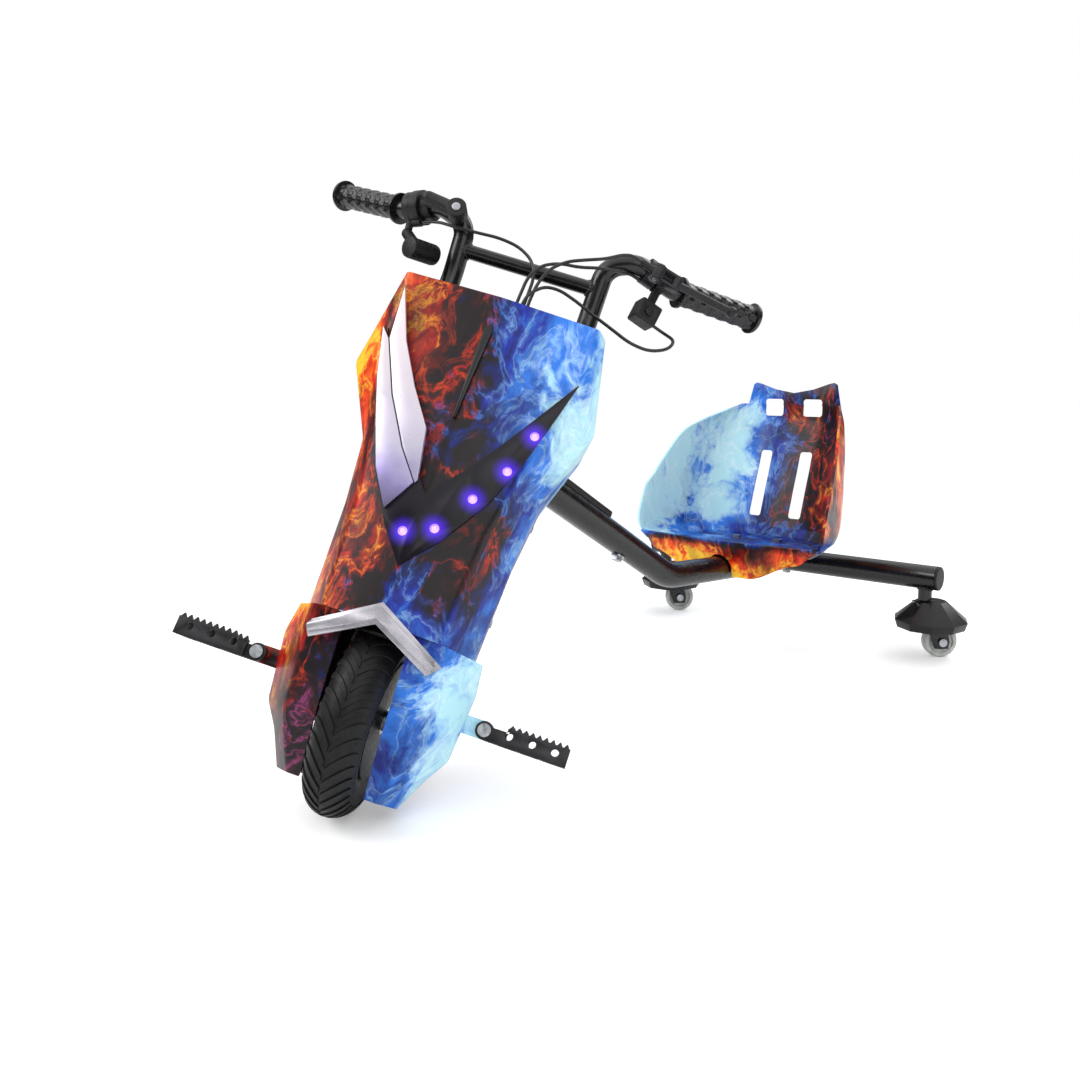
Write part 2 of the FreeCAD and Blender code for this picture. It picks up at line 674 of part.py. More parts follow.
def caster(side, name):
    """One swivelling caster, drawn trailing straight back along +Y and then turned as it stands."""
    place = caster_place(side)
    top = caster_top_up + caster_top_thick
    sleeve_low = hood_top_up + 2
    sleeve = cylinder(caster_stem_radius, beam_up - sleeve_low, V(0, 0, sleeve_low), V(0, 0, 1))
    pin = cylinder(caster_pin_radius, sleeve_low - caster_top_up + 6, V(0, 0, caster_top_up - 6), V(0, 0, 1))
    head = cylinder(caster_pin_radius + 3, 4, V(0, 0, caster_top_up - running_gap - 4), V(0, 0, 1))
    stem = sleeve.fuse(pin).fuse(head)
    beam = cylinder(beam_radius + 0.05, 200, V(-100, 0, beam_up), V(1, 0, 0))
    stem = stem.cut(beam)
    stem.Placement = FreeCAD.Placement(V(side * track_half, 0, 0), FreeCAD.Rotation())
    stems.append(stem)

    half = caster_wheel_width / 2 + caster_fork_gap
    plate_outline = [V(half, caster_trail - 11, 15), V(half, caster_trail + 9, 15), V(half, caster_trail + 11, 26),
                     V(half, 20, top), V(half, -14, top), V(half, 0, 50)]
    plate = prism(plate_outline, V(caster_plate, 0, 0))
    plates = plate.fuse(plate.mirror(V(0, 0, 0), V(1, 0, 0)))
    bridge = box(-half - caster_plate, half + caster_plate, -14, 20, caster_top_up, top)
    axle_hole = cylinder(caster_axle_radius, 80, V(-40, caster_trail, caster_wheel_radius), V(1, 0, 0))
    forked = plates.fuse(bridge)
    forked = forked.cut(cylinder(caster_pin_radius + fit_gap, 60, V(0, 0, 50), V(0, 0, 1))).cut(axle_hole)

    outer = decagon_loft([(hood_skirt_up, hood_skirt_radius), (hood_edge_up, hood_edge_radius),
                          (hood_top_up, hood_top_radius)])
    inner = decagon_loft([(hood_skirt_up - 1, hood_skirt_radius - hood_wall), (hood_edge_up, hood_edge_radius - 4),
                          (top + seat_gap, hood_top_radius + 2)])
    hood = outer.cut(inner).cut(cylinder(caster_pin_radius + 1.0, 60, V(0, 0, 50), V(0, 0, 1)))
    near = half + caster_plate + seat_gap
    hood = hood.cut(box(-near, near, -14 - seat_gap, 20 + seat_gap, 40, top + seat_gap))

    axle = cylinder(caster_axle_radius - 0.05, 2 * (half + caster_plate), V(-half - caster_plate, caster_trail,
                                                                            caster_wheel_radius), V(1, 0, 0))
    for end in (-1, 1):
        start = V(end * (half + caster_plate + 0.1), caster_trail, caster_wheel_radius)
        axle = axle.fuse(cylinder(caster_axle_radius + 2.5, 3, start, V(end, 0, 0)))
        axle = axle.fuse(cylinder(caster_axle_radius - 0.05, 0.2, start, V(-end, 0, 0)))

    wheel = wheel_solid()
    for part_name, shape in (("caster_fork_", forked), ("caster_hood_", hood), ("caster_axle_", axle),
                             ("caster_wheel_", wheel)):
        shape.Placement = place * shape.Placement
        keep(part_name + name, shape)


def wheel_solid():
    """A moulded caster wheel with a rounded tread and dished sides."""
    half = caster_wheel_width / 2
    round_off = 4.0
    hub = 9.0
    centre = V(0, caster_trail, caster_wheel_radius)
    solid = cylinder(caster_wheel_radius, caster_wheel_width, centre - V(half, 0, 0), V(1, 0, 0))
    rims = [e for e in solid.Edges if e.Length > 100]
    solid = solid.makeFillet(round_off, rims)
    for side in (-1, 1):
        dish = ring(caster_wheel_radius - 8, hub, 3, centre + V(side * (half - 3), 0, 0), V(side, 0, 0))
        solid = solid.cut(dish)
    return solid.cut(cylinder(caster_axle_radius + fit_gap, 60, centre - V(30, 0, 0), V(1, 0, 0)))


def decagon_loft(levels):
    wires = []
    for up, radius in levels:
        corners = [V(radius * math.cos(2 * math.pi * (i + 0.5) / hood_sides),
                     hood_offset + radius * math.sin(2 * math.pi * (i + 0.5) / hood_sides), up)
                   for i in range(hood_sides)]
        wires.append(polygon(corners))
    return Part.makeLoft(wires, True, True)


# Seat shell: height, then back middle, back edge, bend and wing tip as (across, along)
seat_levels = [
    (178.0, [(0, -50), (60, -50), (122, -84), (148, -188)]),
    (198.0, [(0, -43), (60, -43), (127, -80), (155, -194)]),
    (246.0, [(0, -25), (60, -25), (124, -66), (155, -177)]),
    (268.0, [(0, -16), (60, -16), (120, -57), (150, -159)]),
    (300.0, [(0, -4), (60, -4), (115, -44), (143, -133)]),
    (336.0, [(0, 10), (60, 10), (106, -28), (131, -99)]),
    (355.0, [(0, 16), (60, 16), (97, -14), (112, -54)]),
    (376.0, [(0, 19), (60, 19), (76, 15), (86, 3)]),
]
# The tub under the walls, outside and inside, from back middle over the left side to front middle
seat_floor = [(0, -56), (52, -56), (110, -88), (136, -180), (116, -195), (60, -200), (0, -201)]
seat_rim = [(0, -46), (61, -46), (125, -81), (152, -188), (124, -203), (62, -208), (0, -209)]
seat_floor_in = [(0, -60), (50, -60), (106, -91), (131, -178), (113, -190), (59, -195), (0, -196)]
seat_rim_in = [(0, -50), (60, -50), (121, -84), (147, -186), (121, -198), (61, -203), (0, -204)]
seat_slots = [(-51, -17, 356, 384), (17, 51, 356, 384)]
seat_low_slots = [(-46, -24, 196, 300), (24, 46, 196, 300)]
horn_outline = [(-82, 373), (-74, 408), (-69, 411), (-60, 409), (-34, 400), (0, 394), (34, 400), (60, 409),
                (69, 411), (74, 408), (82, 373)]
seat_bolts = [(-36, -95), (36, -95), (-36, -188), (36, -188)]


def closed(half):
    left = [p for p in half if p[0] > 0]
    return [half[0]] + left + [half[-1]] + [(-x, y) for x, y in reversed(left)]


def seat_shell():
    flat = lambda x, y, z: V(x, y, z)
    walls = wall_loft(full(seat_levels), 0, seat_wall, flat)
    top = prism([V(x, 17.5, z) for x, z in horn_outline], V(0, seat_wall, 0))
    top.rotate(V(0, 19, 376), V(1, 0, 0), -6)
    rim_up = seat_levels[0][0]
    tub = solid_loft([(seat_floor_up, closed(seat_floor)), (rim_up + 1, closed(seat_rim))], flat)
    hollow = solid_loft([(seat_floor_up + seat_wall, closed(seat_floor_in)), (rim_up + 1, closed(seat_rim_in))], flat)
    tub = tub.cut(hollow)
    front = [p for p in seat_rim if p[1] < -150]
    outer = [(-x, y) for x, y in front if x > 0] + [(x, y) for x, y in reversed(front)]
    inner = offset_path(outer, seat_wall)
    low = seat_floor_up - seat_skirt_drop
    skirt = prism([V(x, y, low) for x, y in outer + inner[::-1]], V(0, 0, rim_up - low))
    cutter = prism([V(200, -150, low - 5), V(200, -150, low + 44), V(118, -150, low + 26), V(50, -150, low - 1),
                    V(50, -150, low - 5)], V(0, -100, 0))
    skirt = skirt.cut(cutter).cut(cutter.mirror(V(0, 0, 0), V(1, 0, 0)))
    notch_up = tube_centre_up(-205)
    notch = cylinder(tube_radius + 3, 120, V(0, -290, notch_up), V(0, 1, 0))
    notch = notch.fuse(box(-tube_radius - 3, tube_radius + 3, -290, -170, 60, notch_up))
    shell = walls.fuse(top).fuse(tub).fuse(skirt).cut(notch)
    for x0, x1, z0, z1 in seat_slots + seat_low_slots:
        hole = box(x0, x1, -120, 80, z0, z1)
        hole = hole.makeFillet(5, [e for e in hole.Edges if e.BoundBox.YLength > 100])
        shell = shell.cut(hole)
    for x, y in seat_bolts:
        shell = shell.cut(cylinder(seat_bolt_radius + fit_gap, 40, V(x, y, seat_floor_up - 20), V(0, 0, 1)))
    return shell.removeSplitter()


def tube_centre_up(along):
    """Height of the main tube's middle line over its rear run."""
    bend = wheel_centre + steering_axis * tube_up + V(0, math.cos(lean), -math.sin(lean)) * front_run
    return beam_up + (bend.z - beam_up) * along / bend.y


def seat_bracket():
    top_up = seat_floor_up - 0.05
    plate = box(-58, 58, -198, -78, top_up - seat_plate_thick, top_up)
    web = prism([V(tube_radius + 0.1, -200, tube_centre_up(-200) - 6), V(tube_radius + 0.1, -84, tube_centre_up(-84) - 6),
                 V(tube_radius + 0.1, -84, top_up - seat_plate_thick), V(tube_radius + 0.1, -200, top_up - seat_plate_thick)],
                V(4, 0, 0))
    solid = plate.fuse(web).fuse(web.mirror(V(0, 0, 0), V(1, 0, 0)))
    for x, y in seat_bolts:
        solid = solid.cut(cylinder(seat_bolt_radius + fit_gap, 40, V(x, y, seat_floor_up - 20), V(0, 0, 1)))
    return solid


def seat_bolt_set():
    bolts = []
    for x, y in seat_bolts:
        shank = cylinder(seat_bolt_radius, seat_wall + seat_plate_thick + 8, V(x, y, seat_floor_up - seat_plate_thick - 8),
                         V(0, 0, 1))
        head = cylinder(7.5, 3, V(x, y, seat_floor_up + seat_wall), V(0, 0, 1))
        nut = hexagon(6.5, 5, V(x, y, seat_floor_up - seat_plate_thick - 0.1), V(0, 0, -1))
        bolts.append(shank.fuse(head).fuse(nut))
    return bolts


def handlebar():
    halves = []
    for side in (-1, 1):
        points = [riser_point(side, yoke_top - 3), riser_point(side, riser_elbow_up)]
        points += [at(side * a, b, c) for a, b, c in (bar_shoulder, bar_knee, grip_inner_end, grip_outer_end)]
        halves.append(points)
    radii = [70.0, bar_bend_radius, bar_knee_radius, bar_grip_radius]
    tubes = [pipe(points, radii, bar_radius, bar_wall) for points in halves]
    reach = riser_across - 2
    cross = ring(crossbar_radius, crossbar_radius - crossbar_wall, 2 * reach, at(-reach, crossbar_ahead, crossbar_up),
                 V(1, 0, 0))
    for points in halves:
        cross = cross.cut(rod(rounded_path(points, radii), bar_radius, points[0], points[1] - points[0]))
    cross = max(cross.Solids, key=lambda s: s.Volume)
    solid = tubes[0].fuse(tubes[1]).fuse(cross)
    return solid.cut(front_box(-120, 120, -60, 60, yoke_top - 20, yoke_top))


def run_direction(side, start, end):
    a = at(side * start[0], start[1], start[2])
    b = at(side * end[0], end[1], end[2])
    return a, (b - a).normalize(), (b - a).Length


def grip(side):
    start, direction, length = run_direction(side, grip_inner_end, grip_outer_end)
    begin = start + direction * 6
    sleeve = cylinder(grip_radius, length - 6 + grip_end_wall, begin, direction)
    inner_flange = cylinder(grip_flange_radius, grip_flange_width / 2, begin, direction)
    outer_flange = cylinder(grip_flange_radius, grip_flange_width, start + direction * (length + grip_end_wall - grip_flange_width),
                            direction)
    solid = sleeve.fuse(inner_flange).fuse(outer_flange)
    return solid.cut(cylinder(bar_radius + 0.05, length, start, direction))


def bar_frame(side, along):
    """A place on the short run inside the grip: origin, along the bar outward, and two square directions."""
    start, direction, length = run_direction(side, bar_knee, grip_inner_end)
    ahead = at(0, 1, 0)
    ahead = (ahead - direction * ahead.dot(direction)).normalize()
    above = direction.cross(ahead) if side < 0 else ahead.cross(direction)
    if above.z < 0:
        above = above * -1
    return start + direction * along, direction, ahead, above


def collar(side, along, width, outer):
    origin, direction, ahead, above = bar_frame(side, along)
    return ring(outer, bar_radius + 0.05, width, origin - direction * (width / 2), direction)


def beam_between(a, b, radius):
    return cylinder(radius, (b - a).Length, a, b - a)


def brake_parts():
    """The perch on the rider's left, and where its lever turns."""
    origin, out, ahead, above = bar_frame(1, 18)
    perch = collar(1, 18, 14, bar_radius + clamp_wall)
    pivot = origin + ahead * 24 - above * 8
    neck = beam_between(origin + ahead * 9 - above * 8, pivot, 4.6)
    block = cylinder(8, 10, pivot - above * 5, above)
    barrel = cylinder(4, 21, pivot, out * -1)
    perch = perch.fuse(neck).fuse(block).fuse(barrel)
    perch = perch.cut(cylinder(bar_radius + 0.05, 60, origin - out * 30, out))
    perch = perch.cut(cylinder(3, 60, pivot - above * 30, above))
    keep_front("brake_perch", perch)
    pin = cylinder(3 - fit_gap, 16, pivot - above * 8, above)
    pin = pin.fuse(cylinder(4.5, 2.5, pivot + above * 8, above))
    return pivot, out, ahead, above, pin


def build_brake_lever():
    pivot, out, ahead, above, pin = brake_parts()
    keep_front("brake_pivot", pin)
    low = cylinder(8, 2.6, pivot - above * (5 + running_gap + 2.6), above)
    high = cylinder(8, 2.6, pivot + above * (5 + running_gap), above)
    knee = pivot + out * 22 + ahead * 4
    tip = pivot + out * 90 + ahead * 11 + above * 8
    side_bar = (knee - pivot).normalize()
    cheeks = []
    for start in (pivot - above * (5 + running_gap + 2.6), pivot + above * (5 + running_gap)):
        across = side_bar.cross(above)
        outline = [start + across * 6, start + side_bar * 24 + across * 5, start + side_bar * 24 - across * 5,
                   start - across * 6]
        cheeks.append(prism(outline, above * 2.6))
    block = cylinder(5.5, 2 * (5 + running_gap + 2.6), knee - above * (5 + running_gap + 2.6), above)
    blade = beam_between(knee, tip, 4.2)
    ball = Part.makeSphere(6.2, tip)
    lever = low.fuse(high).fuse(cheeks[0]).fuse(cheeks[1]).fuse(block).fuse(blade).fuse(ball)
    lever = lever.cut(cylinder(3, 60, pivot - above * 30, above))
    keep_front("brake_lever", lever)
    return pivot, above


def build_throttle():
    """The thumb throttle on the rider's right: a fixed housing, and a ring whose arm carries the roller."""
    origin, out, ahead, above = bar_frame(-1, throttle_along)
    housing = ring(bar_radius + 8, bar_radius + 0.05, 10.5, origin, out)
    lug = cylinder(4.5, 10.5, origin - above * (bar_radius + 8), out)
    housing = housing.fuse(lug).cut(cylinder(bar_radius + 0.05, 60, origin - out * 30, out))
    keep_front("throttle_housing", housing)
    start = origin + out * (10.5 + running_gap)
    hoop = ring(bar_radius + 7, bar_radius + running_gap, 9, start, out)
    inner_end = at(-104, 32, 481)
    outer_end = at(-124, 60, 468)
    elbow = start + out * 4.5 - above * 32
    arm = beam_between(start + out * 4.5 - above * 13, elbow, 4.2).fuse(Part.makeSphere(6.2, elbow))
    arm = arm.fuse(beam_between(elbow, outer_end * 0.6 + inner_end * 0.4, 6.2))
    roller = cylinder(11, (outer_end - inner_end).Length, inner_end, outer_end - inner_end)
    paddle = hoop.fuse(arm).fuse(roller)
    keep_front("throttle_paddle", paddle.cut(cylinder(bar_radius + running_gap, 60, start - out * 10, out)))
    return start, out


def build_pod():
    """The black arm beside the throttle, with a push button in its round end."""
    origin, out, ahead, above = bar_frame(-1, 16)
    clip = collar(-1, 16, 11, bar_radius + clamp_wall)
    elbow = at(-122, 67, 526)
    knob = at(-88, 68, 521)
    forward = at(0, 1, 0)
    arm = beam_between(origin + (elbow - origin).normalize() * (bar_radius + 1), elbow, 6)
    arm = arm.fuse(Part.makeSphere(8, elbow)).fuse(beam_between(elbow, knob, 8))
    case = cylinder(11, 16, knob - forward * 8, forward)
    pod = clip.fuse(arm).fuse(case)
    pod = pod.cut(cylinder(bar_radius + 0.05, 60, origin - out * 30, out))
    pod = pod.cut(cylinder(5, 6, knob + forward * 2.5, forward))
    keep_front("mode_pod", pod)
    keep_front("mode_button", cylinder(5 - running_gap, 5, knob + forward * 4.5, forward))
    return knob, forward


def build_switch_box():
    """The small box that hangs under the rider's left bar, with its push button."""
    origin, out, ahead, above = bar_frame(1, 33)
    clip = collar(1, 33, 10, bar_radius + clamp_wall)
    neck = cylinder(5, 22, origin - above * (bar_radius + 1), above * -1)
    low = origin - above * 55
    body = Part.makeBox(26, 22, 24, V(-13, -11, 0))
    body = body.makeFillet(2.5, body.Edges)
    body.Placement = FreeCAD.Placement(low, FreeCAD.Rotation(out, ahead, above, "ZXY"))
    solid = clip.fuse(neck).fuse(body).cut(cylinder(bar_radius + 0.05, 60, origin - out * 30, out))
    face = low + above * 12 + ahead * 11
    solid = solid.cut(cylinder(5, 6, face - ahead * 5.5, ahead))
    keep_front("switch_box", solid)
    keep_front("horn_button", cylinder(5 - running_gap, 5, face - ahead * 3.5, ahead))
    return face, ahead


def build_cables():
    """The four leads from the hand controls through the top cover into the body."""
    origin, out, ahead, above = bar_frame(-1, throttle_along)
    throttle_exit = origin - above * (bar_radius + 8) - out * end_gap
    throttle_out = out
    origin, out, ahead, above = bar_frame(1, 11)
    stop_exit = origin - above * (bar_radius + clamp_wall - 1) - out * end_gap
    origin, out, ahead, above = bar_frame(1, 18)
    brake_exit = origin + ahead * 24 - above * 8 - out * (21 + end_gap)
    origin, out, ahead, above = bar_frame(1, 33)
    switch_exit = origin - above * 49 + out * (13 + end_gap)
    routes = []
    for start, lead, route in (
            (throttle_exit, throttle_out * -12, throttle_route), (stop_exit, out * -12, stop_route),
            (brake_exit, out * -12, brake_route), (switch_exit, out * 16, switch_route)):
        routes.append([start, start + lead] + [at(*p) for p in route])
    return Part.makeCompound([cable(points) for points in routes])


def side_across(ahead, up):
    """The outer face of the front cover's side, between its widest and its rear edge."""
    for (low, a), (high, b) in zip(cover_levels, cover_levels[1:]):
        if low <= up <= high:
            t = (up - low) / (high - low)
            wide = [a[2][i] + t * (b[2][i] - a[2][i]) for i in (0, 1)]
            rear = [a[3][i] + t * (b[3][i] - a[3][i]) for i in (0, 1)]
            return rear[0] + (wide[0] - rear[0]) * (ahead - rear[1]) / (wide[1] - rear[1])


def screw_holes():
    """Holes and head recesses for the screws that join the covers."""
    cutters = []
    for side in (-1, 1):
        for ahead, up in screw_places:
            across = side_across(ahead, up)
            cutters.append(cylinder(screw_radius + 0.05, 16, at(side * (across - 12), ahead, up), V(side, 0, 0)))
            cutters.append(cylinder(screw_head_radius + 0.2, 8, at(side * (across - 1.2), ahead, up), V(side, 0, 0)))
    return Part.makeCompound(cutters)


def cover_screws():
    screws = []
    for side in (-1, 1):
        for ahead, up in screw_places:
            across = side_across(ahead, up)
            shank = cylinder(screw_radius, 9, at(side * (across - 10), ahead, up), V(side, 0, 0))
            head = cylinder(screw_head_radius, 2.5, at(side * (across - 1.2), ahead, up), V(side, 0, 0))
            screws.append(shank.fuse(head))
    return Part.makeCompound(screws)


def peg_parts(side, name):
    """A bracket, a hinge pin and a folding peg, drawn on the rider's left and mirrored for the right."""
    def sided(shape):
        return shape if side > 0 else shape.mirror(V(0, 0, 0), V(1, 0, 0))

    tongue_low = peg_ahead - peg_tongue_thick / 2
    tongue_high = peg_ahead + peg_tongue_thick / 2
    hinge = at(peg_hinge_across, peg_ahead, peg_up)
    bar = front_box(leg_outer + seat_gap, peg_hinge_across, tongue_low, tongue_high, peg_up - 9, peg_up + 9)
    eye = cylinder(9, peg_tongue_thick, at(peg_hinge_across, tongue_low, peg_up), at(0, 1, 0))
    foot = front_box(leg_outer + seat_gap, leg_outer + 6, -leg_depth / 2, leg_depth / 2, peg_up - 9, peg_up + 30)
    bracket = bar.fuse(eye).fuse(foot)
    bracket = bracket.cut(cylinder(peg_pin_radius, 80, hinge - at(0, 40, 0), at(0, 1, 0)))
    brackets.append(sided(bracket))

    length = peg_tongue_thick + 2 * peg_cheek_thick + 2
    pin = cylinder(peg_pin_radius - fit_gap, length, hinge - at(0, length / 2, 0), at(0, 1, 0))
    head = cylinder(peg_pin_radius + 2.5, 2.5, hinge + at(0, length / 2, 0), at(0, 1, 0))
    peg_pins.append(sided(pin.fuse(head)))

    low = peg_up - 9
    high = low + peg_height
    tip = peg_hinge_across + peg_length
    start = peg_hinge_across + 11
    back = peg_ahead - peg_width / 2
    front = peg_ahead + peg_width / 2
    body = front_box(start, tip, back, front, low, high)
    rails = 3
    inner = (tip - start - peg_rail) / rails
    for i in range(rails):
        body = body.cut(front_box(start + peg_rail + i * inner, start + i * inner + inner, back + peg_rail,
                                  front - peg_rail, low - 1, high + 1))
        hole_across = start + peg_rail / 2 + (i + 0.5) * inner
        body = body.cut(cylinder(peg_hole_radius, 80, at(hole_across, -40, (low + high) / 2 + peg_hole_rise), at(0, 1, 0)))
    first = start + peg_step
    body = body.cut(front_box(start - 1, first - 1, back - 1, front + 1, high - peg_tooth, high + 1))
    pitch = (tip - first) / peg_teeth
    for edge in (back, front - peg_rail):
        for i in range(peg_teeth):
            x = first + i * pitch
            tooth = prism([at(x, edge, high), at(x + pitch * 0.8, edge, high), at(x + pitch * 0.4, edge, high + peg_tooth)],
                          at(0, peg_rail, 0))
            body = body.fuse(tooth)
    for edge in (tongue_low - seat_gap - peg_cheek_thick, tongue_high + seat_gap):
        cheek = front_box(peg_hinge_across, start + 2, edge, edge + peg_cheek_thick, low, high - peg_tooth)
        cheek = cheek.fuse(cylinder(9, peg_cheek_thick, at(peg_hinge_across, edge, peg_up), at(0, 1, 0)))
        body = body.fuse(cheek)
    body = body.cut(cylinder(peg_pin_radius, 80, hinge - at(0, 40, 0), at(0, 1, 0)))
    keep_front("foot_peg_" + name, sided(body))


def cable(points):
    radii = []
    for i in range(1, len(points) - 1):
        back = points[i - 1] - points[i]
        ahead = points[i + 1] - points[i]
        turn = math.pi - back.getAngle(ahead)
        radii.append(0.45 * min(back.Length, ahead.Length) / math.tan(turn / 2))
    path = rounded_path(points, radii)
    solid = rod(path, cable_radius, points[0], points[1] - points[0])
    runs = [(b - a).Length for a, b in zip(points, points[1:])]
    print("lead", round(path.Length), [round(r) for r in radii], "least radius", round(min(radii), 1), "runs", round(min(runs)), round(max(runs)),
          "volume ratio", round(solid.Volume / (math.pi * cable_radius ** 2 * path.Length), 4))
    return solid


def battery():
    case = front_box(-52, 52, leg_depth / 2 + seat_gap, 78, 118, 250)
    case = case.makeFillet(6, [e for e in case.Edges if e.BoundBox.ZLength > 100])
    return case


def controller():
    case = front_box(-46, 46, -leg_depth / 2 - 26, -leg_depth / 2 - seat_gap, 130, 230)
    return case.makeFillet(3, [e for e in case.Edges if e.BoundBox.ZLength > 90])


def grommet():
    low = cover_top - top_cover_thick - 2
    flange = cylinder(grommet_radius + 3, 2.5, at(grommet_across, grommet_ahead, low + top_cover_thick + 0.05), V(0, 0, 1))
    neck = cylinder(grommet_radius - 0.1, top_cover_thick + 4, at(grommet_across, grommet_ahead, low - 3), V(0, 0, 1))
    solid = flange.fuse(neck)
    for spot in cable_holes:
        solid = solid.cut(cylinder(cable_radius + 0.5, 40, at(spot[0], spot[1], low - 15), V(0, 0, 1)))
    return solid


cable_holes = [(8.0, 66.35), (14.0, 58.1), (20.35, 66.0), (14.2, 71.6)]


def build():
    wheel_parts()
    keep_front("fork", fork())
    keep_front("handlebar_yoke", yoke())
    nut = hexagon(steerer_nut_radius, steerer_nut_height, at(0, 0, yoke_top), V(0, 0, 1))
    keep_front("steerer_nut", nut.cut(cylinder(steerer_radius, 60, at(0, 0, yoke_top - 10), V(0, 0, 1))))
    head_parts()
    tube_bolts = main_tube()
    rear_beam()
    for side, name in ((1, "left"), (-1, "right")):
        caster(side, name)
        peg_parts(side, name)
        keep_front("wheel_side_cover_" + name, side_cover(side))
        keep_front("grip_" + name, grip(side))
    keep("caster_stems", Part.makeCompound(stems))
    keep_front("peg_brackets", Part.makeCompound(brackets))
    keep_front("peg_pins", Part.makeCompound(peg_pins))
    keep("seat_shell", seat_shell())
    keep("seat_bracket", seat_bracket())
    keep("frame_bolts", Part.makeCompound(tube_bolts + seat_bolt_set()))
    keep_front("front_cover", front_cover())
    keep_front("arch_trim", arch_trim())
    keep_front("v_panel", v_panel())
    upper, lower = blades()
    keep_front("v_blades", Part.makeCompound([upper, lower]))
    keep_front("led_lenses", led_lenses())
    keep_front("front_fin", front_fin())
    keep_front("rear_covers", Part.makeCompound([rear_cover(100, 282), rear_cover(348, 416)]))
    keep_front("cover_screws", cover_screws())
    keep_front("top_cover", top_cover())
    keep_front("mudguard", mudguard())
    keep_front("handlebar", handlebar())
    keep_front("battery", battery())
    keep_front("controller", controller())
    keep_front("cable_grommet", grommet())
    joints = {}
    joints["brake"] = build_brake_lever()
    joints["throttle"] = build_throttle()
    joints["mode"] = build_pod()
    joints["horn"] = build_switch_box()
    keep_front("control_leads", build_cables())
    return joints


places = build()


def finish():
    whole = Part.makeCompound(list(parts.values()))
    bounds = whole.optimalBoundingBox(False, False)
    shift = V(-(bounds.XMin + bounds.XMax) / 2, -(bounds.YMin + bounds.YMax) / 2, 0)
    os.makedirs("parts", exist_ok=True)
    for name, shape in parts.items():
        shape.translate(shift)
        shape.exportStep("parts/" + name + ".step")
    print("nodes", len(parts), "size", round(bounds.XLength, 1), round(bounds.YLength, 1), round(bounds.ZLength, 1),
          "lowest", round(bounds.ZMin, 3))
    return shift


shift = finish()
for name, (point, direction) in sorted(places.items()):
    place = front_place.multVec(point) + shift
    turned = front_place.Rotation.multVec(direction)
    print("joint", name, [round(v / 1000, 6) for v in place], [round(v, 6) for v in turned])
print("wheel centre", [round(v / 1000, 6) for v in wheel_centre + shift], "steering axis",
      [round(v, 6) for v in steering_axis], "wheel axis", [round(v, 6) for v in front_place.Rotation.multVec(V(1, 0, 0))])
print("shift", [round(v, 4) for v in shift])
print("ranges: steering", steer_lock, "peg", peg_fold, "lever", lever_pull, "throttle", throttle_turn, "buttons",
      button_travel)
for side in (-1, 1):
    hinge = front_place.multVec(at(side * peg_hinge_across, peg_ahead, peg_up)) + shift
    turned = front_place.Rotation.multVec(at(0, 1, 0))
    print("peg hinge", side, [round(v / 1000, 6) for v in hinge], [round(v, 6) for v in turned])
    place = caster_place(side)
    print("caster", side, [round(v / 1000, 6) for v in V(side * track_half, 0, 0) + shift],
          [round(v / 1000, 6) for v in place.multVec(V(0, caster_trail, caster_wheel_radius)) + shift],
          [round(v, 6) for v in place.Rotation.multVec(V(1, 0, 0))])
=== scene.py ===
import json
import math

import bmesh
import bpy
from mathutils import Matrix, Vector


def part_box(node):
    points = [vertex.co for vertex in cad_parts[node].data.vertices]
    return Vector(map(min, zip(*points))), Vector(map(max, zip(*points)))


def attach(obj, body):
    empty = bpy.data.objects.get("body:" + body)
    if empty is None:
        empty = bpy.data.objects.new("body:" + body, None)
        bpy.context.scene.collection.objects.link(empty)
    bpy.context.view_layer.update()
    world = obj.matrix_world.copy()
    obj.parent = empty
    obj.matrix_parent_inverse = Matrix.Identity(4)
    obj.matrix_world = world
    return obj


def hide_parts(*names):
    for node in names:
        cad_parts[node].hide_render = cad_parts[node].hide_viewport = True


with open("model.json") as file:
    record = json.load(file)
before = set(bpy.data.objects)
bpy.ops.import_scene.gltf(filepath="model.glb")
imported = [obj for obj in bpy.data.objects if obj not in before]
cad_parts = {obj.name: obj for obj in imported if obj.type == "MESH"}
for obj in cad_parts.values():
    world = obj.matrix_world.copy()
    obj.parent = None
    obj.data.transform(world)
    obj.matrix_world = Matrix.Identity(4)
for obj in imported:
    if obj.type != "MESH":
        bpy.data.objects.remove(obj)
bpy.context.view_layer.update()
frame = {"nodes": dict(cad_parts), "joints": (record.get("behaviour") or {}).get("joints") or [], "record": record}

bl_info = {
    "name": "Electric drift trike",
    "version": (1, 0, 0),
    "blender": (4, 5, 0),
    "location": "View3D > Sidebar > Trike",
    "description": "Finishes and visible detail of a steered, seated three-wheeled drift trike",
    "category": "Object",
}

MM = 0.001
joints = {j["name"]: j for j in frame["joints"]}
BODY_OF = {node: body for body, nodes in frame["record"]["behaviour"]["bodies"].items() for node in nodes}


def front_frame():
    """Where the upright front assembly stands: X to the rider's left, -Y ahead, Z up the steering axis."""
    spin = joints["front_wheel_spin"]
    across = Vector(spin["axis"]).normalized()
    up = Vector(joints["steering"]["axis"]).normalized()
    back = up.cross(across)
    place = Matrix((across, back, up)).transposed().to_4x4()
    place.translation = Vector(spin["pos_m"])
    return place


FRONT = front_frame()
SHIFT = Vector((joints["steering"]["pos_m"][0], 0, 0))
BEAM_Y = sum(c.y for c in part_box("rear_beam")) / 2
REAR = Matrix.Translation(Vector((SHIFT.x, BEAM_Y, 0)))


# Colours and sizes that a user would change

def srgb(code):
    """An sRGB hex value as a linear colour."""
    parts = [int(code[i:i + 2], 16) / 255 for i in (1, 3, 5)]
    return tuple(c / 12.92 if c <= 0.04045 else ((c + 0.055) / 1.055) ** 2.4 for c in parts) + (1.0,)


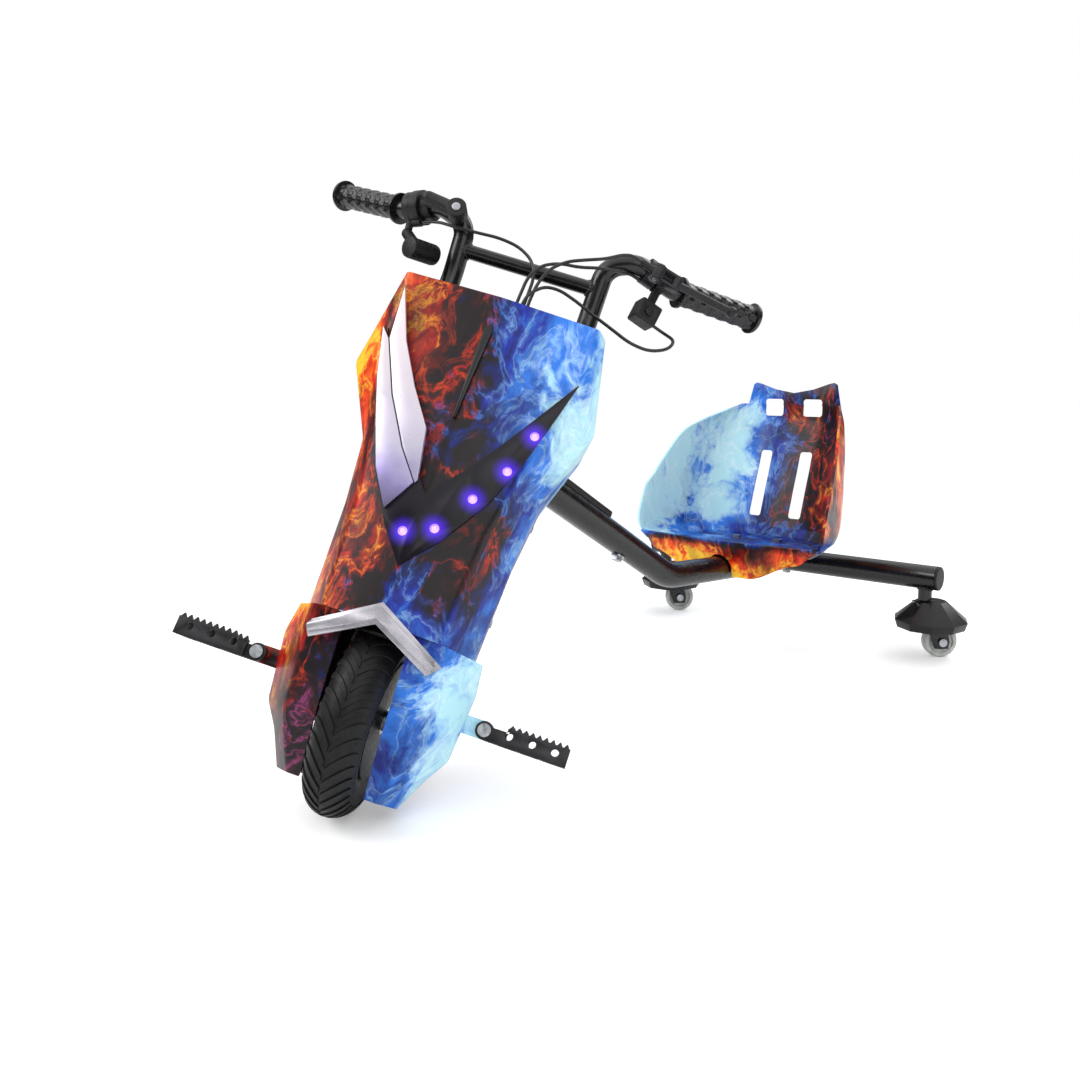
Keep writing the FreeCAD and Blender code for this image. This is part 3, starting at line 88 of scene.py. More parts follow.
def colour(name, description, code):
    return bpy.props.FloatVectorProperty(name=name, description=description, subtype="COLOR", size=4, min=0, max=1,
                                         default=srgb(code))


def length(name, description, value):
    return bpy.props.FloatProperty(name=name, description=description, default=value, min=0, unit="LENGTH",
                                   precision=4)


class TrikeColours(bpy.types.PropertyGroup):
    steel_paint: colour("Steel paint", "Gloss black of the tubes and the handlebar", "#0c0c0e")
    moulding: colour("Black moulding", "Black moulded plastic of covers and controls", "#121214")
    silver: colour("Silver paint", "Silver of the wheel arch and the blades", "#c3c0c8")
    fire_light: colour("Flame", "Brightest of the warm colours in the film", "#ffc62e")
    fire: colour("Fire", "Orange of the film", "#f04e17")
    ember: colour("Ember", "Red of the film", "#b3160f")
    char: colour("Char", "Darkest of the film", "#10060b")
    deep: colour("Deep blue", "Deep blue of the film", "#0b2596")
    sky: colour("Sky blue", "Mid blue of the film", "#2674dc")
    ice: colour("Ice", "Palest of the film", "#b4e4f0")
    lamp: colour("Lamp", "Light of the small front lamps", "#5a2bff")
    caster: colour("Caster wheel", "Grey of the caster wheels", "#b9bcb8")


class TrikeSizes(bpy.types.PropertyGroup):
    tread_rows: bpy.props.IntProperty(name="Tread blocks", description="Pairs of blocks around the front tyre",
                                      default=40, min=12, max=80)
    tread_depth: length("Tread depth", "How far the blocks stand off the tyre", 1.6 * MM)
    cover_round: length("Cover edge", "Rounding of the creases of the body covers", 4.0 * MM)
    grip_ridges: bpy.props.IntProperty(name="Grip ridges", description="Ridges along each grip", default=13, min=4,
                                       max=30)
    weld_ripples: bpy.props.IntProperty(name="Weld ripples", description="Ripples around each weld", default=36,
                                        min=8, max=80)


def colours():
    return bpy.context.scene.trike_colours


def sizes():
    return bpy.context.scene.trike_sizes


# Shader trees

def add(tree, kind, inputs=None, **settings):
    """Add a node with its settings and links."""
    node = tree.nodes.new(kind)
    for key, value in settings.items():
        setattr(node, key, value)
    for key, value in (inputs or {}).items():
        if isinstance(value, bpy.types.NodeSocket):
            tree.links.new(value, node.inputs[key])
        else:
            node.inputs[key].default_value = value
    return node


def ramp(tree, factor, stops, blend="LINEAR"):
    node = add(tree, "ShaderNodeValToRGB", {"Fac": factor})
    band = node.color_ramp
    band.interpolation = blend
    while len(band.elements) > 1:
        band.elements.remove(band.elements[-1])
    band.elements[0].position = stops[0][0]
    band.elements[0].color = stops[0][1]
    for position, value in stops[1:]:
        band.elements.new(position).color = value
    return node.outputs["Color"]


def grey(value):
    return (value, value, value, 1.0)


def new_material(name):
    material = bpy.data.materials.new(name)
    material.use_nodes = True
    tree = material.node_tree
    tree.nodes.clear()
    output = add(tree, "ShaderNodeOutputMaterial")
    shader = add(tree, "ShaderNodeBsdfPrincipled")
    tree.links.new(shader.outputs["BSDF"], output.inputs["Surface"])
    return material, tree, shader


def object_point(tree, place=None, stretch=(1, 1, 1)):
    """Object coordinates, turned into the frame of a piece where one is given."""
    point = add(tree, "ShaderNodeTexCoord").outputs["Object"]
    if place is None and stretch == (1, 1, 1):
        return point
    place = place or Matrix.Identity(4)
    mapping = add(tree, "ShaderNodeMapping", {"Vector": point, "Location": place.translation,
                                              "Rotation": place.to_euler(), "Scale": stretch},
                  vector_type="TEXTURE")
    return mapping.outputs["Vector"]


def noise(tree, point, size, detail=3.0, rough=0.5, distortion=0.0):
    """Noise whose largest marks are about the given size in metres."""
    node = add(tree, "ShaderNodeTexNoise", {"Vector": point, "Scale": 1.0 / size, "Detail": detail,
                                            "Roughness": rough, "Distortion": distortion})
    return node.outputs["Fac"]


def maths(tree, operation, *values, clamp=False):
    node = add(tree, "ShaderNodeMath", dict(enumerate(values)), operation=operation, use_clamp=clamp)
    return node.outputs["Value"]


def mix(tree, factor, low, high, blend="MIX"):
    node = add(tree, "ShaderNodeMix", data_type="RGBA", blend_type=blend)
    for socket, value in ((node.inputs[0], factor), (node.inputs[6], low), (node.inputs[7], high)):
        if isinstance(value, bpy.types.NodeSocket):
            tree.links.new(value, socket)
        else:
            socket.default_value = value
    return node.outputs[2]


def bump(tree, shader, height, depth, strength=1.0):
    node = add(tree, "ShaderNodeBump", {"Height": height, "Distance": depth, "Strength": strength})
    tree.links.new(node.outputs["Normal"], shader.inputs["Normal"])


def shade(value, factor):
    return tuple(min(c * factor, 1.0) for c in value[:3]) + (1.0,)


def mottle(tree, shader, point, size, detail, stops, rough=0.5):
    """A base colour that drifts between the stops over marks of a size."""
    tree.links.new(ramp(tree, noise(tree, point, size, detail, rough), stops), shader.inputs["Base Color"])


def sheen(tree, shader, point, size, detail, low, high):
    """A roughness that drifts between two values over marks of a size."""
    stops = [(0.3, grey(low)), (0.7, grey(high))]
    tree.links.new(ramp(tree, noise(tree, point, size, detail), stops), shader.inputs["Roughness"])


def vector(tree, operation, first, second, output="Vector"):
    """A sum, product or distance of two vectors."""
    return add(tree, "ShaderNodeVectorMath", {0: first, 1: second}, operation=operation).outputs[output]


def sprayed_steel():
    """Gloss black spray paint on steel tube: a faint orange peel breaks the highlights."""
    material, tree, shader = new_material("steel_gloss_black_paint")
    point = object_point(tree)
    base = colours().steel_paint
    mottle(tree, shader, point, 0.05, 4, [(0.35, shade(base, 0.8)), (0.7, shade(base, 1.35))])
    sheen(tree, shader, point, 0.012, 4, 0.2, 0.32)
    shader.inputs["Specular IOR Level"].default_value = 0.45
    shader.inputs["Coat Weight"].default_value = 0.15
    shader.inputs["Coat Roughness"].default_value = 0.1
    # Orange peel is about 2 mm from crest to crest
    bump(tree, shader, noise(tree, point, 0.002, 1), 0.00004, 0.5)
    return material


def weld_metal():
    """Painted weld: the same black spray over coarse ripples, so its highlights are short and broken."""
    material, tree, shader = new_material("steel_painted_weld")
    point = object_point(tree)
    mottle(tree, shader, point, 0.006, 5, [(0.3, srgb("#08080a")), (0.75, srgb("#1c1c1f"))])
    sheen(tree, shader, point, 0.003, 3, 0.3, 0.5)
    bump(tree, shader, noise(tree, point, 0.001, 3), 0.0001, 0.6)
    return material


def zinc_plated_steel():
    """Zinc-plated and turned steel: bright, slightly blue, with fine turning lines."""
    material, tree, shader = new_material("steel_zinc_plated")
    point = object_point(tree)
    mottle(tree, shader, point, 0.006, 5, [(0.3, srgb("#8f9399")), (0.7, srgb("#c2c5c9"))])
    shader.inputs["Metallic"].default_value = 1.0
    sheen(tree, shader, point, 0.003, 3, 0.25, 0.42)
    bump(tree, shader, noise(tree, point, 0.0008, 2), 0.00003, 0.4)
    return material


def painted_casting():
    """Black-painted cast aluminium: the grain of the casting shows through the paint."""
    material, tree, shader = new_material("aluminium_cast_black_paint")
    point = object_point(tree)
    mottle(tree, shader, point, 0.02, 5, [(0.3, srgb("#0e0e10")), (0.75, srgb("#26262a"))])
    sheen(tree, shader, point, 0.004, 4, 0.34, 0.5)
    shader.inputs["Specular IOR Level"].default_value = 0.35
    # Casting grain of about 1 mm, drawn a little coarse so that it shows
    bump(tree, shader, noise(tree, point, 0.001, 3), 0.00015, 0.6)
    return material


def spark_textured_abs():
    """Black ABS moulded in a spark-eroded tool: an even fine grain that keeps it dull."""
    material, tree, shader = new_material("abs_moulded_spark_texture")
    point = object_point(tree)
    base = colours().moulding
    mottle(tree, shader, point, 0.03, 4, [(0.3, shade(base, 0.75)), (0.7, shade(base, 1.4))])
    sheen(tree, shader, point, 0.004, 3, 0.42, 0.58)
    shader.inputs["Specular IOR Level"].default_value = 0.35
    # Spark grain is 0.2 mm; drawn at 0.9 mm so that it shows
    bump(tree, shader, noise(tree, point, 0.0009, 2), 0.00008, 0.7)
    return material


def polished_abs():
    """Black ABS moulded in a polished tool: deep and smooth, with faint handling haze."""
    material, tree, shader = new_material("abs_moulded_piano_black")
    point = object_point(tree)
    mottle(tree, shader, point, 0.04, 4, [(0.35, srgb("#040405")), (0.75, srgb("#100d12"))])
    tree.links.new(ramp(tree, noise(tree, point, 0.02, 5), [(0.3, grey(0.22)), (0.75, grey(0.38))]),
                   shader.inputs["Roughness"])
    shader.inputs["Specular IOR Level"].default_value = 0.4
    bump(tree, shader, noise(tree, point, 0.01, 1), 0.00003, 0.3)
    return material


def panel_abs_with_painted_lamp_glow():
    """Smoked black ABS that lets the violet of each lamp glow through around its lens."""
    material, tree, shader = new_material("abs_smoked_lamp_panel")
    point = object_point(tree, FRONT)
    mottle(tree, shader, point, 0.03, 5, [(0.35, srgb("#050308")), (0.75, srgb("#140c1c"))])
    sheen(tree, shader, point, 0.02, 4, 0.28, 0.42)
    shader.inputs["Specular IOR Level"].default_value = 0.3
    nearest = None
    for across, up in LAMPS:
        flat = vector(tree, "MULTIPLY", point, (1, 0, 1))
        gap = vector(tree, "DISTANCE", flat, (across * MM, 0, up * MM), "Value")
        nearest = gap if nearest is None else maths(tree, "MINIMUM", nearest, gap)
    # The painted lamp glow fades out 17 mm from the middle of a lens
    glow = maths(tree, "MULTIPLY_ADD", nearest, -1 / 0.017, 1.0, clamp=True)
    # Painted light: the panel emits the lamp colour near each lens, though it is no lamp
    shader.inputs["Emission Color"].default_value = colours().lamp
    tree.links.new(maths(tree, "MULTIPLY", maths(tree, "POWER", glow, 1.8), 1.6), shader.inputs["Emission Strength"])
    bump(tree, shader, noise(tree, point, 0.008, 1), 0.00004, 0.3)
    return material


def silver_paint_abs():
    """Silver paint on ABS: fine metal flake gives a grainy sheen under clear lacquer."""
    material, tree, shader = new_material("abs_silver_metallic_paint")
    point = object_point(tree)
    base = colours().silver
    flake = add(tree, "ShaderNodeTexVoronoi", {"Vector": point, "Scale": 1 / 0.0007}).outputs["Color"]
    sparkle = maths(tree, "MULTIPLY", add(tree, "ShaderNodeSeparateColor", {"Color": flake}).outputs["Red"], 0.16)
    tone = maths(tree, "ADD", noise(tree, point, 0.04, 3), sparkle)
    tree.links.new(ramp(tree, tone, [(0.3, shade(base, 0.5)), (0.62, shade(base, 0.9)), (0.85, shade(base, 1.2))]),
                   shader.inputs["Base Color"])
    shader.inputs["Metallic"].default_value = 0.7
    sheen(tree, shader, point, 0.02, 3, 0.25, 0.4)
    bump(tree, shader, noise(tree, point, 0.0007, 1), 0.00001, 0.4)
    return material


def blade_paint_with_painted_highlight():
    """Pearl silver paint: pale along the blade, cooler and darker towards its lower tip, with a violet flop."""
    material, tree, shader = new_material("abs_pearl_silver_paint")
    point = object_point(tree, FRONT)
    axes = add(tree, "ShaderNodeSeparateXYZ", {"Vector": point}).outputs
    # Painted highlight and shade run from the lower tip at 180 mm up the steering axis to the upper one at 400 mm
    height = maths(tree, "MULTIPLY_ADD", axes["Z"], 1 / 0.22, -0.18 / 0.22)
    tone = maths(tree, "ADD", height, maths(tree, "MULTIPLY", noise(tree, point, 0.05, 4), 0.35))
    tone = maths(tree, "SUBTRACT", tone, 0.17, clamp=True)
    tree.links.new(ramp(tree, tone, [(0.0, srgb("#5b5668")), (0.14, srgb("#8d83b4")), (0.3, srgb("#b7b1c4")),
                                     (0.62, srgb("#cfc6cf")), (1.0, srgb("#e6dcdf"))]), shader.inputs["Base Color"])
    shader.inputs["Metallic"].default_value = 0.35
    sheen(tree, shader, point, 0.02, 3, 0.26, 0.38)
    bump(tree, shader, noise(tree, point, 0.0009, 1), 0.00001, 0.4)
    return material


def printed_film(name, place, turn):
    """ABS dressed with dipped printed film and clear lacquer: clouds of fire that turn to ice across the part.

    turn gives a value that is 0 where the film burns and 1 where it is ice, from the point's three axes."""
    material, tree, shader = new_material(name)
    look = colours()
    point = object_point(tree, place)
    # Wisps are a little longer than wide and drift sideways as they rise, about 100 mm from one to the next
    slim = vector(tree, "MULTIPLY", point, (1, 1, 0.72))
    drift = add(tree, "ShaderNodeTexNoise", {"Vector": slim, "Scale": 1 / 0.1, "Detail": 4.0, "Roughness": 0.5,
                                             "Distortion": 0.7})
    offset = vector(tree, "SUBTRACT", drift.outputs["Color"], (0.5, 0.5, 0.5))
    carried = add(tree, "ShaderNodeVectorMath", {0: offset, 3: 0.085}, operation="SCALE").outputs["Vector"]
    warped = vector(tree, "ADD", slim, carried)
    cloud = noise(tree, warped, 0.055, 8, 0.6, 0.5)
    fleck = noise(tree, warped, 0.019, 5, 0.6, 0.8)
    wander = maths(tree, "MULTIPLY", maths(tree, "SUBTRACT", drift.outputs["Fac"], 0.5), 0.9)
    wander = maths(tree, "MULTIPLY_ADD", maths(tree, "SUBTRACT", cloud, 0.5), 0.5, wander)
    wander = maths(tree, "MULTIPLY_ADD", maths(tree, "SUBTRACT", fleck, 0.5), 0.45, wander)
    share = turn(tree, add(tree, "ShaderNodeSeparateXYZ", {"Vector": point}).outputs, wander)
    body = ramp(tree, share, [(0.0, look.fire_light), (0.08, look.fire), (0.18, look.ember),
                              (0.27, shade(look.ember, 0.25)), (0.34, look.char), (0.46, look.char),
                              (0.53, shade(look.deep, 0.3)), (0.62, look.deep), (0.72, shade(look.sky, 0.7)),
                              (0.82, look.sky), (0.91, mix_colour(look.sky, look.ice, 0.7)), (1.0, look.ice)])
    # Bright threads where the clouds fold, 1 to 3 mm wide, strongest in the fire
    fold = noise(tree, warped, 0.04, 6, 0.58, 0.9)
    ridge = maths(tree, "SUBTRACT", 1.0, maths(tree, "ABSOLUTE", maths(tree, "MULTIPLY_ADD", fold, 2.0, -1.0)))
    thread = maths(tree, "POWER", ridge, 26.0)
    strength = ramp(tree, share, [(0.0, grey(0.8)), (0.45, grey(0.75)), (0.6, grey(0.4)), (1.0, grey(0.3))])
    spark = ramp(tree, share, [(0.0, shade(look.fire_light, 1.1)), (0.16, look.fire_light), (0.3, look.fire),
                               (0.42, look.ember), (0.5, look.sky), (0.7, look.ice), (1.0, (1, 1, 1, 1))])
    lit = mix(tree, maths(tree, "MULTIPLY", thread, strength), body, spark)
    # Smoke darkens patches between the wisps: soot in the fire, night blue in the ice
    smoke = ramp(tree, noise(tree, warped, 0.06, 7, 0.62, 0.6), [(0.38, grey(0.85)), (0.5, grey(0.0))])
    thin = ramp(tree, share, [(0.0, grey(0.45)), (0.2, grey(0.9)), (0.7, grey(0.8)), (0.95, grey(0.18))])
    soot = ramp(tree, share, [(0.48, look.char), (0.6, shade(look.deep, 0.4))])
    tree.links.new(mix(tree, maths(tree, "MULTIPLY", smoke, thin), lit, soot), shader.inputs["Base Color"])
    sheen(tree, shader, point, 0.03, 3, 0.3, 0.42)
    shader.inputs["Specular IOR Level"].default_value = 0.3
    bump(tree, shader, noise(tree, point, 0.006, 2), 0.00004, 0.35)
    return material


def mix_colour(low, high, share):
    return tuple(a + (b - a) * share for a, b in zip(low, high))


def front_turn(tree, axes, wander):
    """Fire on the rider's right and ice on the left over 260 mm, with soot low down and behind the lamps."""
    share = maths(tree, "MULTIPLY_ADD", axes["X"], 1 / 0.26, 0.5)
    low = maths(tree, "MULTIPLY_ADD", axes["Z"], -1 / 0.12, 0.085 / 0.12, clamp=True)
    share = maths(tree, "ADD", share, maths(tree, "MULTIPLY", low, 0.13))
    flat = add(tree, "ShaderNodeCombineXYZ", {"X": axes["X"], "Z": axes["Z"]}).outputs["Vector"]
    gap = vector(tree, "DISTANCE", flat, (0.016, 0, 0.17), "Value")
    dark = maths(tree, "MULTIPLY_ADD", gap, -1 / 0.075, 1.6, clamp=True)
    share = maths(tree, "MULTIPLY_ADD", maths(tree, "SUBTRACT", 0.4, share), dark, share)
    # Deep blue beside the tyre on the ice side
    beside = maths(tree, "ABSOLUTE", maths(tree, "SUBTRACT", axes["X"], 0.052))
    beside = maths(tree, "MULTIPLY_ADD", beside, -1 / 0.04, 1.0, clamp=True)
    share = maths(tree, "MULTIPLY_ADD", maths(tree, "MULTIPLY", beside, low), -0.13, share)
    # The fire side burns down to soot but never turns blue
    ceiling = maths(tree, "MULTIPLY_ADD", low, -0.4, maths(tree, "MULTIPLY_ADD", axes["X"], 8.0, 1.02))
    return maths(tree, "MINIMUM", maths(tree, "ADD", share, wander), maths(tree, "MAXIMUM", ceiling, 0.44), clamp=True)


def seat_turn(tree, axes, wander):
    """Ice on the rider's right wing, embers on the left; the front lip burns from red down to yellow."""
    across = maths(tree, "MULTIPLY_ADD", axes["X"], 1 / 0.32, 0.5)
    share = ramp(tree, across, [(0.03, grey(1.0)), (0.2, grey(0.96)), (0.32, grey(0.84)), (0.41, grey(0.66)),
                                (0.5, grey(0.5)), (0.62, grey(0.39)), (0.8, grey(0.27)), (0.97, grey(0.2))])
    pan = maths(tree, "MULTIPLY_ADD", axes["Z"], -50.0, 0.2 * 50.0, clamp=True)
    share = maths(tree, "MULTIPLY_ADD", maths(tree, "SUBTRACT", 0.66, share), maths(tree, "MULTIPLY", pan, 0.7), share)
    front = maths(tree, "MULTIPLY_ADD", axes["Y"], -70.0, -0.183 * 70.0, clamp=True)
    low = maths(tree, "MULTIPLY_ADD", axes["Z"], -60.0, 0.187 * 60.0, clamp=True)
    lip = maths(tree, "MULTIPLY_ADD", axes["Z"], 4.5, -0.122 * 4.5)
    gone = maths(tree, "MULTIPLY", maths(tree, "SUBTRACT", lip, share), maths(tree, "MULTIPLY", front, low))
    return maths(tree, "ADD", maths(tree, "ADD", share, gone), wander, clamp=True)


def vulcanised_rubber(name, code_low, code_high, roughness, shine):
    """Vulcanised rubber: a dry bloom of grey dust over black, no mirror highlights."""
    material, tree, shader = new_material(name)
    point = object_point(tree)
    mottle(tree, shader, point, 0.02, 6, [(0.3, srgb(code_low)), (0.75, srgb(code_high))], 0.6)
    sheen(tree, shader, point, 0.006, 4, roughness, roughness + 0.16)
    shader.inputs["Specular IOR Level"].default_value = shine
    bump(tree, shader, noise(tree, point, 0.0015, 3), 0.0001, 0.5)
    return material


def cast_polyurethane():
    """Cast polyurethane: pale grey, slightly waxy, scuffed where it rolls."""
    material, tree, shader = new_material("polyurethane_cast_grey")
    point = object_point(tree)
    base = colours().caster
    mottle(tree, shader, point, 0.01, 6, [(0.3, shade(base, 0.7)), (0.65, shade(base, 1.1))], 0.6)
    sheen(tree, shader, point, 0.004, 4, 0.28, 0.5)
    shader.inputs["Subsurface Weight"].default_value = 0.08
    shader.inputs["Subsurface Scale"].default_value = 0.002
    bump(tree, shader, noise(tree, point, 0.002, 3), 0.0001, 0.3)
    return material


def polycarbonate_lens():
    """Violet polycarbonate lens with a lamp behind it: hot in the middle, deeper at the rim."""
    material, tree, shader = new_material("polycarbonate_violet_lens")
    point = object_point(tree)
    glow = colours().lamp
    speckle = noise(tree, point, 0.002, 2)
    rim = add(tree, "ShaderNodeLayerWeight", {"Blend": 0.35}).outputs["Facing"]
    heat = maths(tree, "SUBTRACT", 1.0, rim)
    colour_now = mix(tree, maths(tree, "POWER", heat, 3.0), glow, srgb("#b79bff"))
    tree.links.new(mix(tree, speckle, shade(glow, 0.5), glow), shader.inputs["Base Color"])
    tree.links.new(colour_now, shader.inputs["Emission Color"])
    shader.inputs["Emission Strength"].default_value = 2.2
    shader.inputs["Roughness"].default_value = 0.12
    return material


def stacked_laminations():
    """Motor laminations: thin steel sheets stacked to a ring, seen as fine lines."""
    material, tree, shader = new_material("steel_laminations")
    point = object_point(tree, FRONT)
    lines = add(tree, "ShaderNodeTexWave", {"Vector": point, "Scale": 1 / 0.006}, bands_direction="X")
    tree.links.new(ramp(tree, lines.outputs["Fac"], [(0.2, srgb("#4a3a30")), (0.8, srgb("#8d7a68"))]),
                   shader.inputs["Base Color"])
    shader.inputs["Metallic"].default_value = 0.8
    shader.inputs["Roughness"].default_value = 0.45
    bump(tree, shader, lines.outputs["Fac"], 0.0001, 0.5)
    return material


def extruded_sheath():
    """PVC cable sheath: extruded, smooth and a little greasy."""
    material, tree, shader = new_material("pvc_extruded_sheath")
    point = object_point(tree)
    mottle(tree, shader, point, 0.02, 3, [(0.3, srgb("#0b0b0c")), (0.7, srgb("#1d1d1f"))])
    sheen(tree, shader, point, 0.005, 3, 0.3, 0.45)
    bump(tree, shader, noise(tree, point, 0.003, 2), 0.00005, 0.4)
    return material


MAKERS = {
    "paint": sprayed_steel,
    "zinc": zinc_plated_steel,
    "casting": painted_casting,
    "grain": spark_textured_abs,
    "gloss": polished_abs,
    "silver": silver_paint_abs,
    "blade": blade_paint_with_painted_highlight,
    "film": lambda: printed_film("abs_dipped_film_fire_and_ice", FRONT, front_turn),
    "seat_film": lambda: printed_film("abs_dipped_film_seat", REAR, seat_turn),
    "panel": panel_abs_with_painted_lamp_glow,
    "tyre": lambda: vulcanised_rubber("rubber_vulcanised_tread", "#050505", "#161617", 0.42, 0.28),
    "weld": weld_metal,
    "rubber": lambda: vulcanised_rubber("rubber_moulded_soft", "#060607", "#141416", 0.22, 0.5),
    "caster": cast_polyurethane,
    "lamp": polycarbonate_lens,
    "laminations": stacked_laminations,
    "sheath": extruded_sheath,
}
made = {}


def finish(key):
    """One material of each kind, made when it is first asked for."""
    if key not in made:
        made[key] = MAKERS[key]()
    return made[key]


def dress(key, *names):
    """Give CAD nodes a finish."""
    for name in names:
        mesh = frame["nodes"][name].data
        mesh.materials.clear()
        mesh.materials.append(finish(key))


# Meshes

def stand(name, data):
    """A new object in the scene."""
    thing = bpy.data.objects.new(name, data)
    bpy.context.scene.collection.objects.link(thing)
    return thing


def place_mesh(mesh, place, name, body, crease=30.0):
    """Put a finished mesh in the row frame, shade it smooth between creases, and hang it on its body."""
    mesh.transform(place)
    mesh.shade_smooth()
    mesh.set_sharp_from_angle(angle=math.radians(crease))
    mesh.name = name
    thing = stand(name, mesh)
    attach(thing, body)
    return thing


def softened(node, width, key, angle=30.0, segments=2):
    """A copy of a CAD node with its sharp edges rounded, as a tool or a mould leaves them."""
    mesh = frame["nodes"][node].data.copy()
    mesh.materials.clear()
    mesh.materials.append(finish(key))
    work = bmesh.new()
    work.from_mesh(mesh)
    bmesh.ops.remove_doubles(work, verts=work.verts, dist=1e-5)
    bmesh.ops.dissolve_limit(work, angle_limit=math.radians(1), verts=work.verts, edges=work.edges)
    work.to_mesh(mesh)
    work.free()
    mesh = evaluated(mesh, [rounding(width, segments, angle)])
    piece = place_mesh(mesh, Matrix.Identity(4), node + "_finished", BODY_OF[node], 40)
    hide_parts(node)
    return piece


def mesh_from(verts, faces, key=None):
    mesh = bpy.data.meshes.new("draft")
    mesh.from_pydata([tuple(v) for v in verts], [], faces)
    mesh.validate()
    if key:
        mesh.materials.append(finish(key))
    return mesh


def outward(mesh):
    """Merge doubles and turn every face outwards."""
    work = bmesh.new()
    work.from_mesh(mesh)
    bmesh.ops.remove_doubles(work, verts=work.verts, dist=1e-6)
    bmesh.ops.recalc_face_normals(work, faces=work.faces)
    work.to_mesh(mesh)
    work.free()
    return mesh


def evaluated(mesh, modifiers):
    """The mesh with modifiers applied; each is (type, settings)."""
    thing = stand("draft", mesh)
    for kind, settings in modifiers:
        modifier = thing.modifiers.new(kind, kind)
        for key, value in settings.items():
            if key.startswith("Socket"):
                modifier[key] = value
            else:
                setattr(modifier, key, value)
    bpy.context.view_layer.update()
    graph = bpy.context.evaluated_depsgraph_get()
    result = bpy.data.meshes.new_from_object(thing.evaluated_get(graph))
    thing.modifiers.clear()
    bpy.data.objects.remove(thing)
    return result


def lathe(profile, steps, closed_profile=False):
    """Turn a profile of (along, radius) points about X."""
    verts, faces = [], []
    count = len(profile)
    for i in range(steps):
        angle = 2 * math.pi * i / steps
        for along, radius in profile:
            verts.append((along, radius * math.cos(angle), radius * math.sin(angle)))
    spans = count if closed_profile else count - 1
    for i in range(steps):
        a, b = i * count, ((i + 1) % steps) * count
        for j in range(spans):
            k = (j + 1) % count
            faces.append((a + j, a + k, b + k, b + j))
    return verts, faces


def ring_tree():
    """Geometry nodes: copies of a shape turned about X, as many as asked."""
    tree = bpy.data.node_groups.new("ring_of_copies", "GeometryNodeTree")
    tree.is_modifier = True
    sockets = {}
    for name, kind, way in (("Geometry", "NodeSocketGeometry", "INPUT"), ("Copies", "NodeSocketInt", "INPUT"),
                            ("Finish", "NodeSocketMaterial", "INPUT"), ("Ring", "NodeSocketGeometry", "OUTPUT")):
        sockets[name] = tree.interface.new_socket(name, in_out=way, socket_type=kind).identifier
    given = add(tree, "NodeGroupInput")
    points = add(tree, "GeometryNodeMeshLine", {"Count": given.outputs["Copies"], "Offset": (0, 0, 0)})
    step = add(tree, "ShaderNodeMath", {0: 2 * math.pi, 1: given.outputs["Copies"]}, operation="DIVIDE")
    turn = add(tree, "ShaderNodeMath", {0: add(tree, "GeometryNodeInputIndex").outputs["Index"],
                                        1: step.outputs["Value"]}, operation="MULTIPLY")
    angles = add(tree, "ShaderNodeCombineXYZ", {"X": turn.outputs["Value"]})
    copies = add(tree, "GeometryNodeInstanceOnPoints", {"Points": points.outputs["Mesh"],
                                                        "Instance": given.outputs["Geometry"],
                                                        "Rotation": angles.outputs["Vector"]})
    solid = add(tree, "GeometryNodeRealizeInstances", {"Geometry": copies.outputs["Instances"]})
    coated = add(tree, "GeometryNodeSetMaterial", {"Geometry": solid.outputs["Geometry"],
                                                   "Material": given.outputs["Finish"]})
    result = add(tree, "NodeGroupOutput")
    tree.links.new(coated.outputs["Geometry"], result.inputs["Ring"])
    return tree, sockets


def ring_of(mesh, copies, key):
    """A plain mesh of copies of a shape around X."""
    if "ring" not in made:
        made["ring"] = ring_tree()
    tree, sockets = made["ring"]
    settings = {"node_group": tree, sockets["Copies"]: copies, sockets["Finish"]: finish(key)}
    return evaluated(mesh, [("NODES", settings)])


def joined(meshes):
    """One mesh from several, keeping their materials."""
    things = [stand("draft", mesh) for mesh in meshes]
    with bpy.context.temp_override(active_object=things[0], selected_editable_objects=things):
        bpy.ops.object.join()
    mesh = things[0].data
    bpy.data.objects.remove(things[0])
    return mesh


def tread_block(side, radius, crown, depth, rows):
    """One curved, swept tread block from beside the middle out to the shoulder."""
    ring = radius - crown
    first, last = math.radians(1.5), math.radians(70)
    spans = 12
    half = math.pi / rows * 0.43
    verts, faces = [], []
    for i in range(spans + 1):
        t = i / spans
        around = first + (last - first) * t
        sweep = -0.42 * t + 0.24 * t * t
        wide = half * (1.0 if t < 0.8 else 1.0 - 1.6 * (t - 0.8))
        for reach, edge in ((crown - 1.5 * depth, 1.0), (crown - 0.3 * depth, 1.0), (crown, 0.84)):
            for way in (-1, 1):
                along = side * reach * math.sin(around)
                out = ring + reach * math.cos(around)
                angle = sweep + way * wide * edge
                verts.append((along, out * math.cos(angle), out * math.sin(angle)))
    def at(i, level, way):
        return i * 6 + level * 2 + way
    for i in range(spans):
        for level in range(2):
            faces.append((at(i, level, 0), at(i, level + 1, 0), at(i + 1, level + 1, 0), at(i + 1, level, 0)))
            faces.append((at(i, level, 1), at(i + 1, level, 1), at(i + 1, level + 1, 1), at(i, level + 1, 1)))
        faces.append((at(i, 2, 0), at(i, 2, 1), at(i + 1, 2, 1), at(i + 1, 2, 0)))
        faces.append((at(i, 0, 0), at(i + 1, 0, 0), at(i + 1, 0, 1), at(i, 0, 1)))
    for i in (0, spans):
        for level in range(2):
            faces.append((at(i, level, 0), at(i, level, 1), at(i, level + 1, 1), at(i, level + 1, 0)))
    return verts, faces


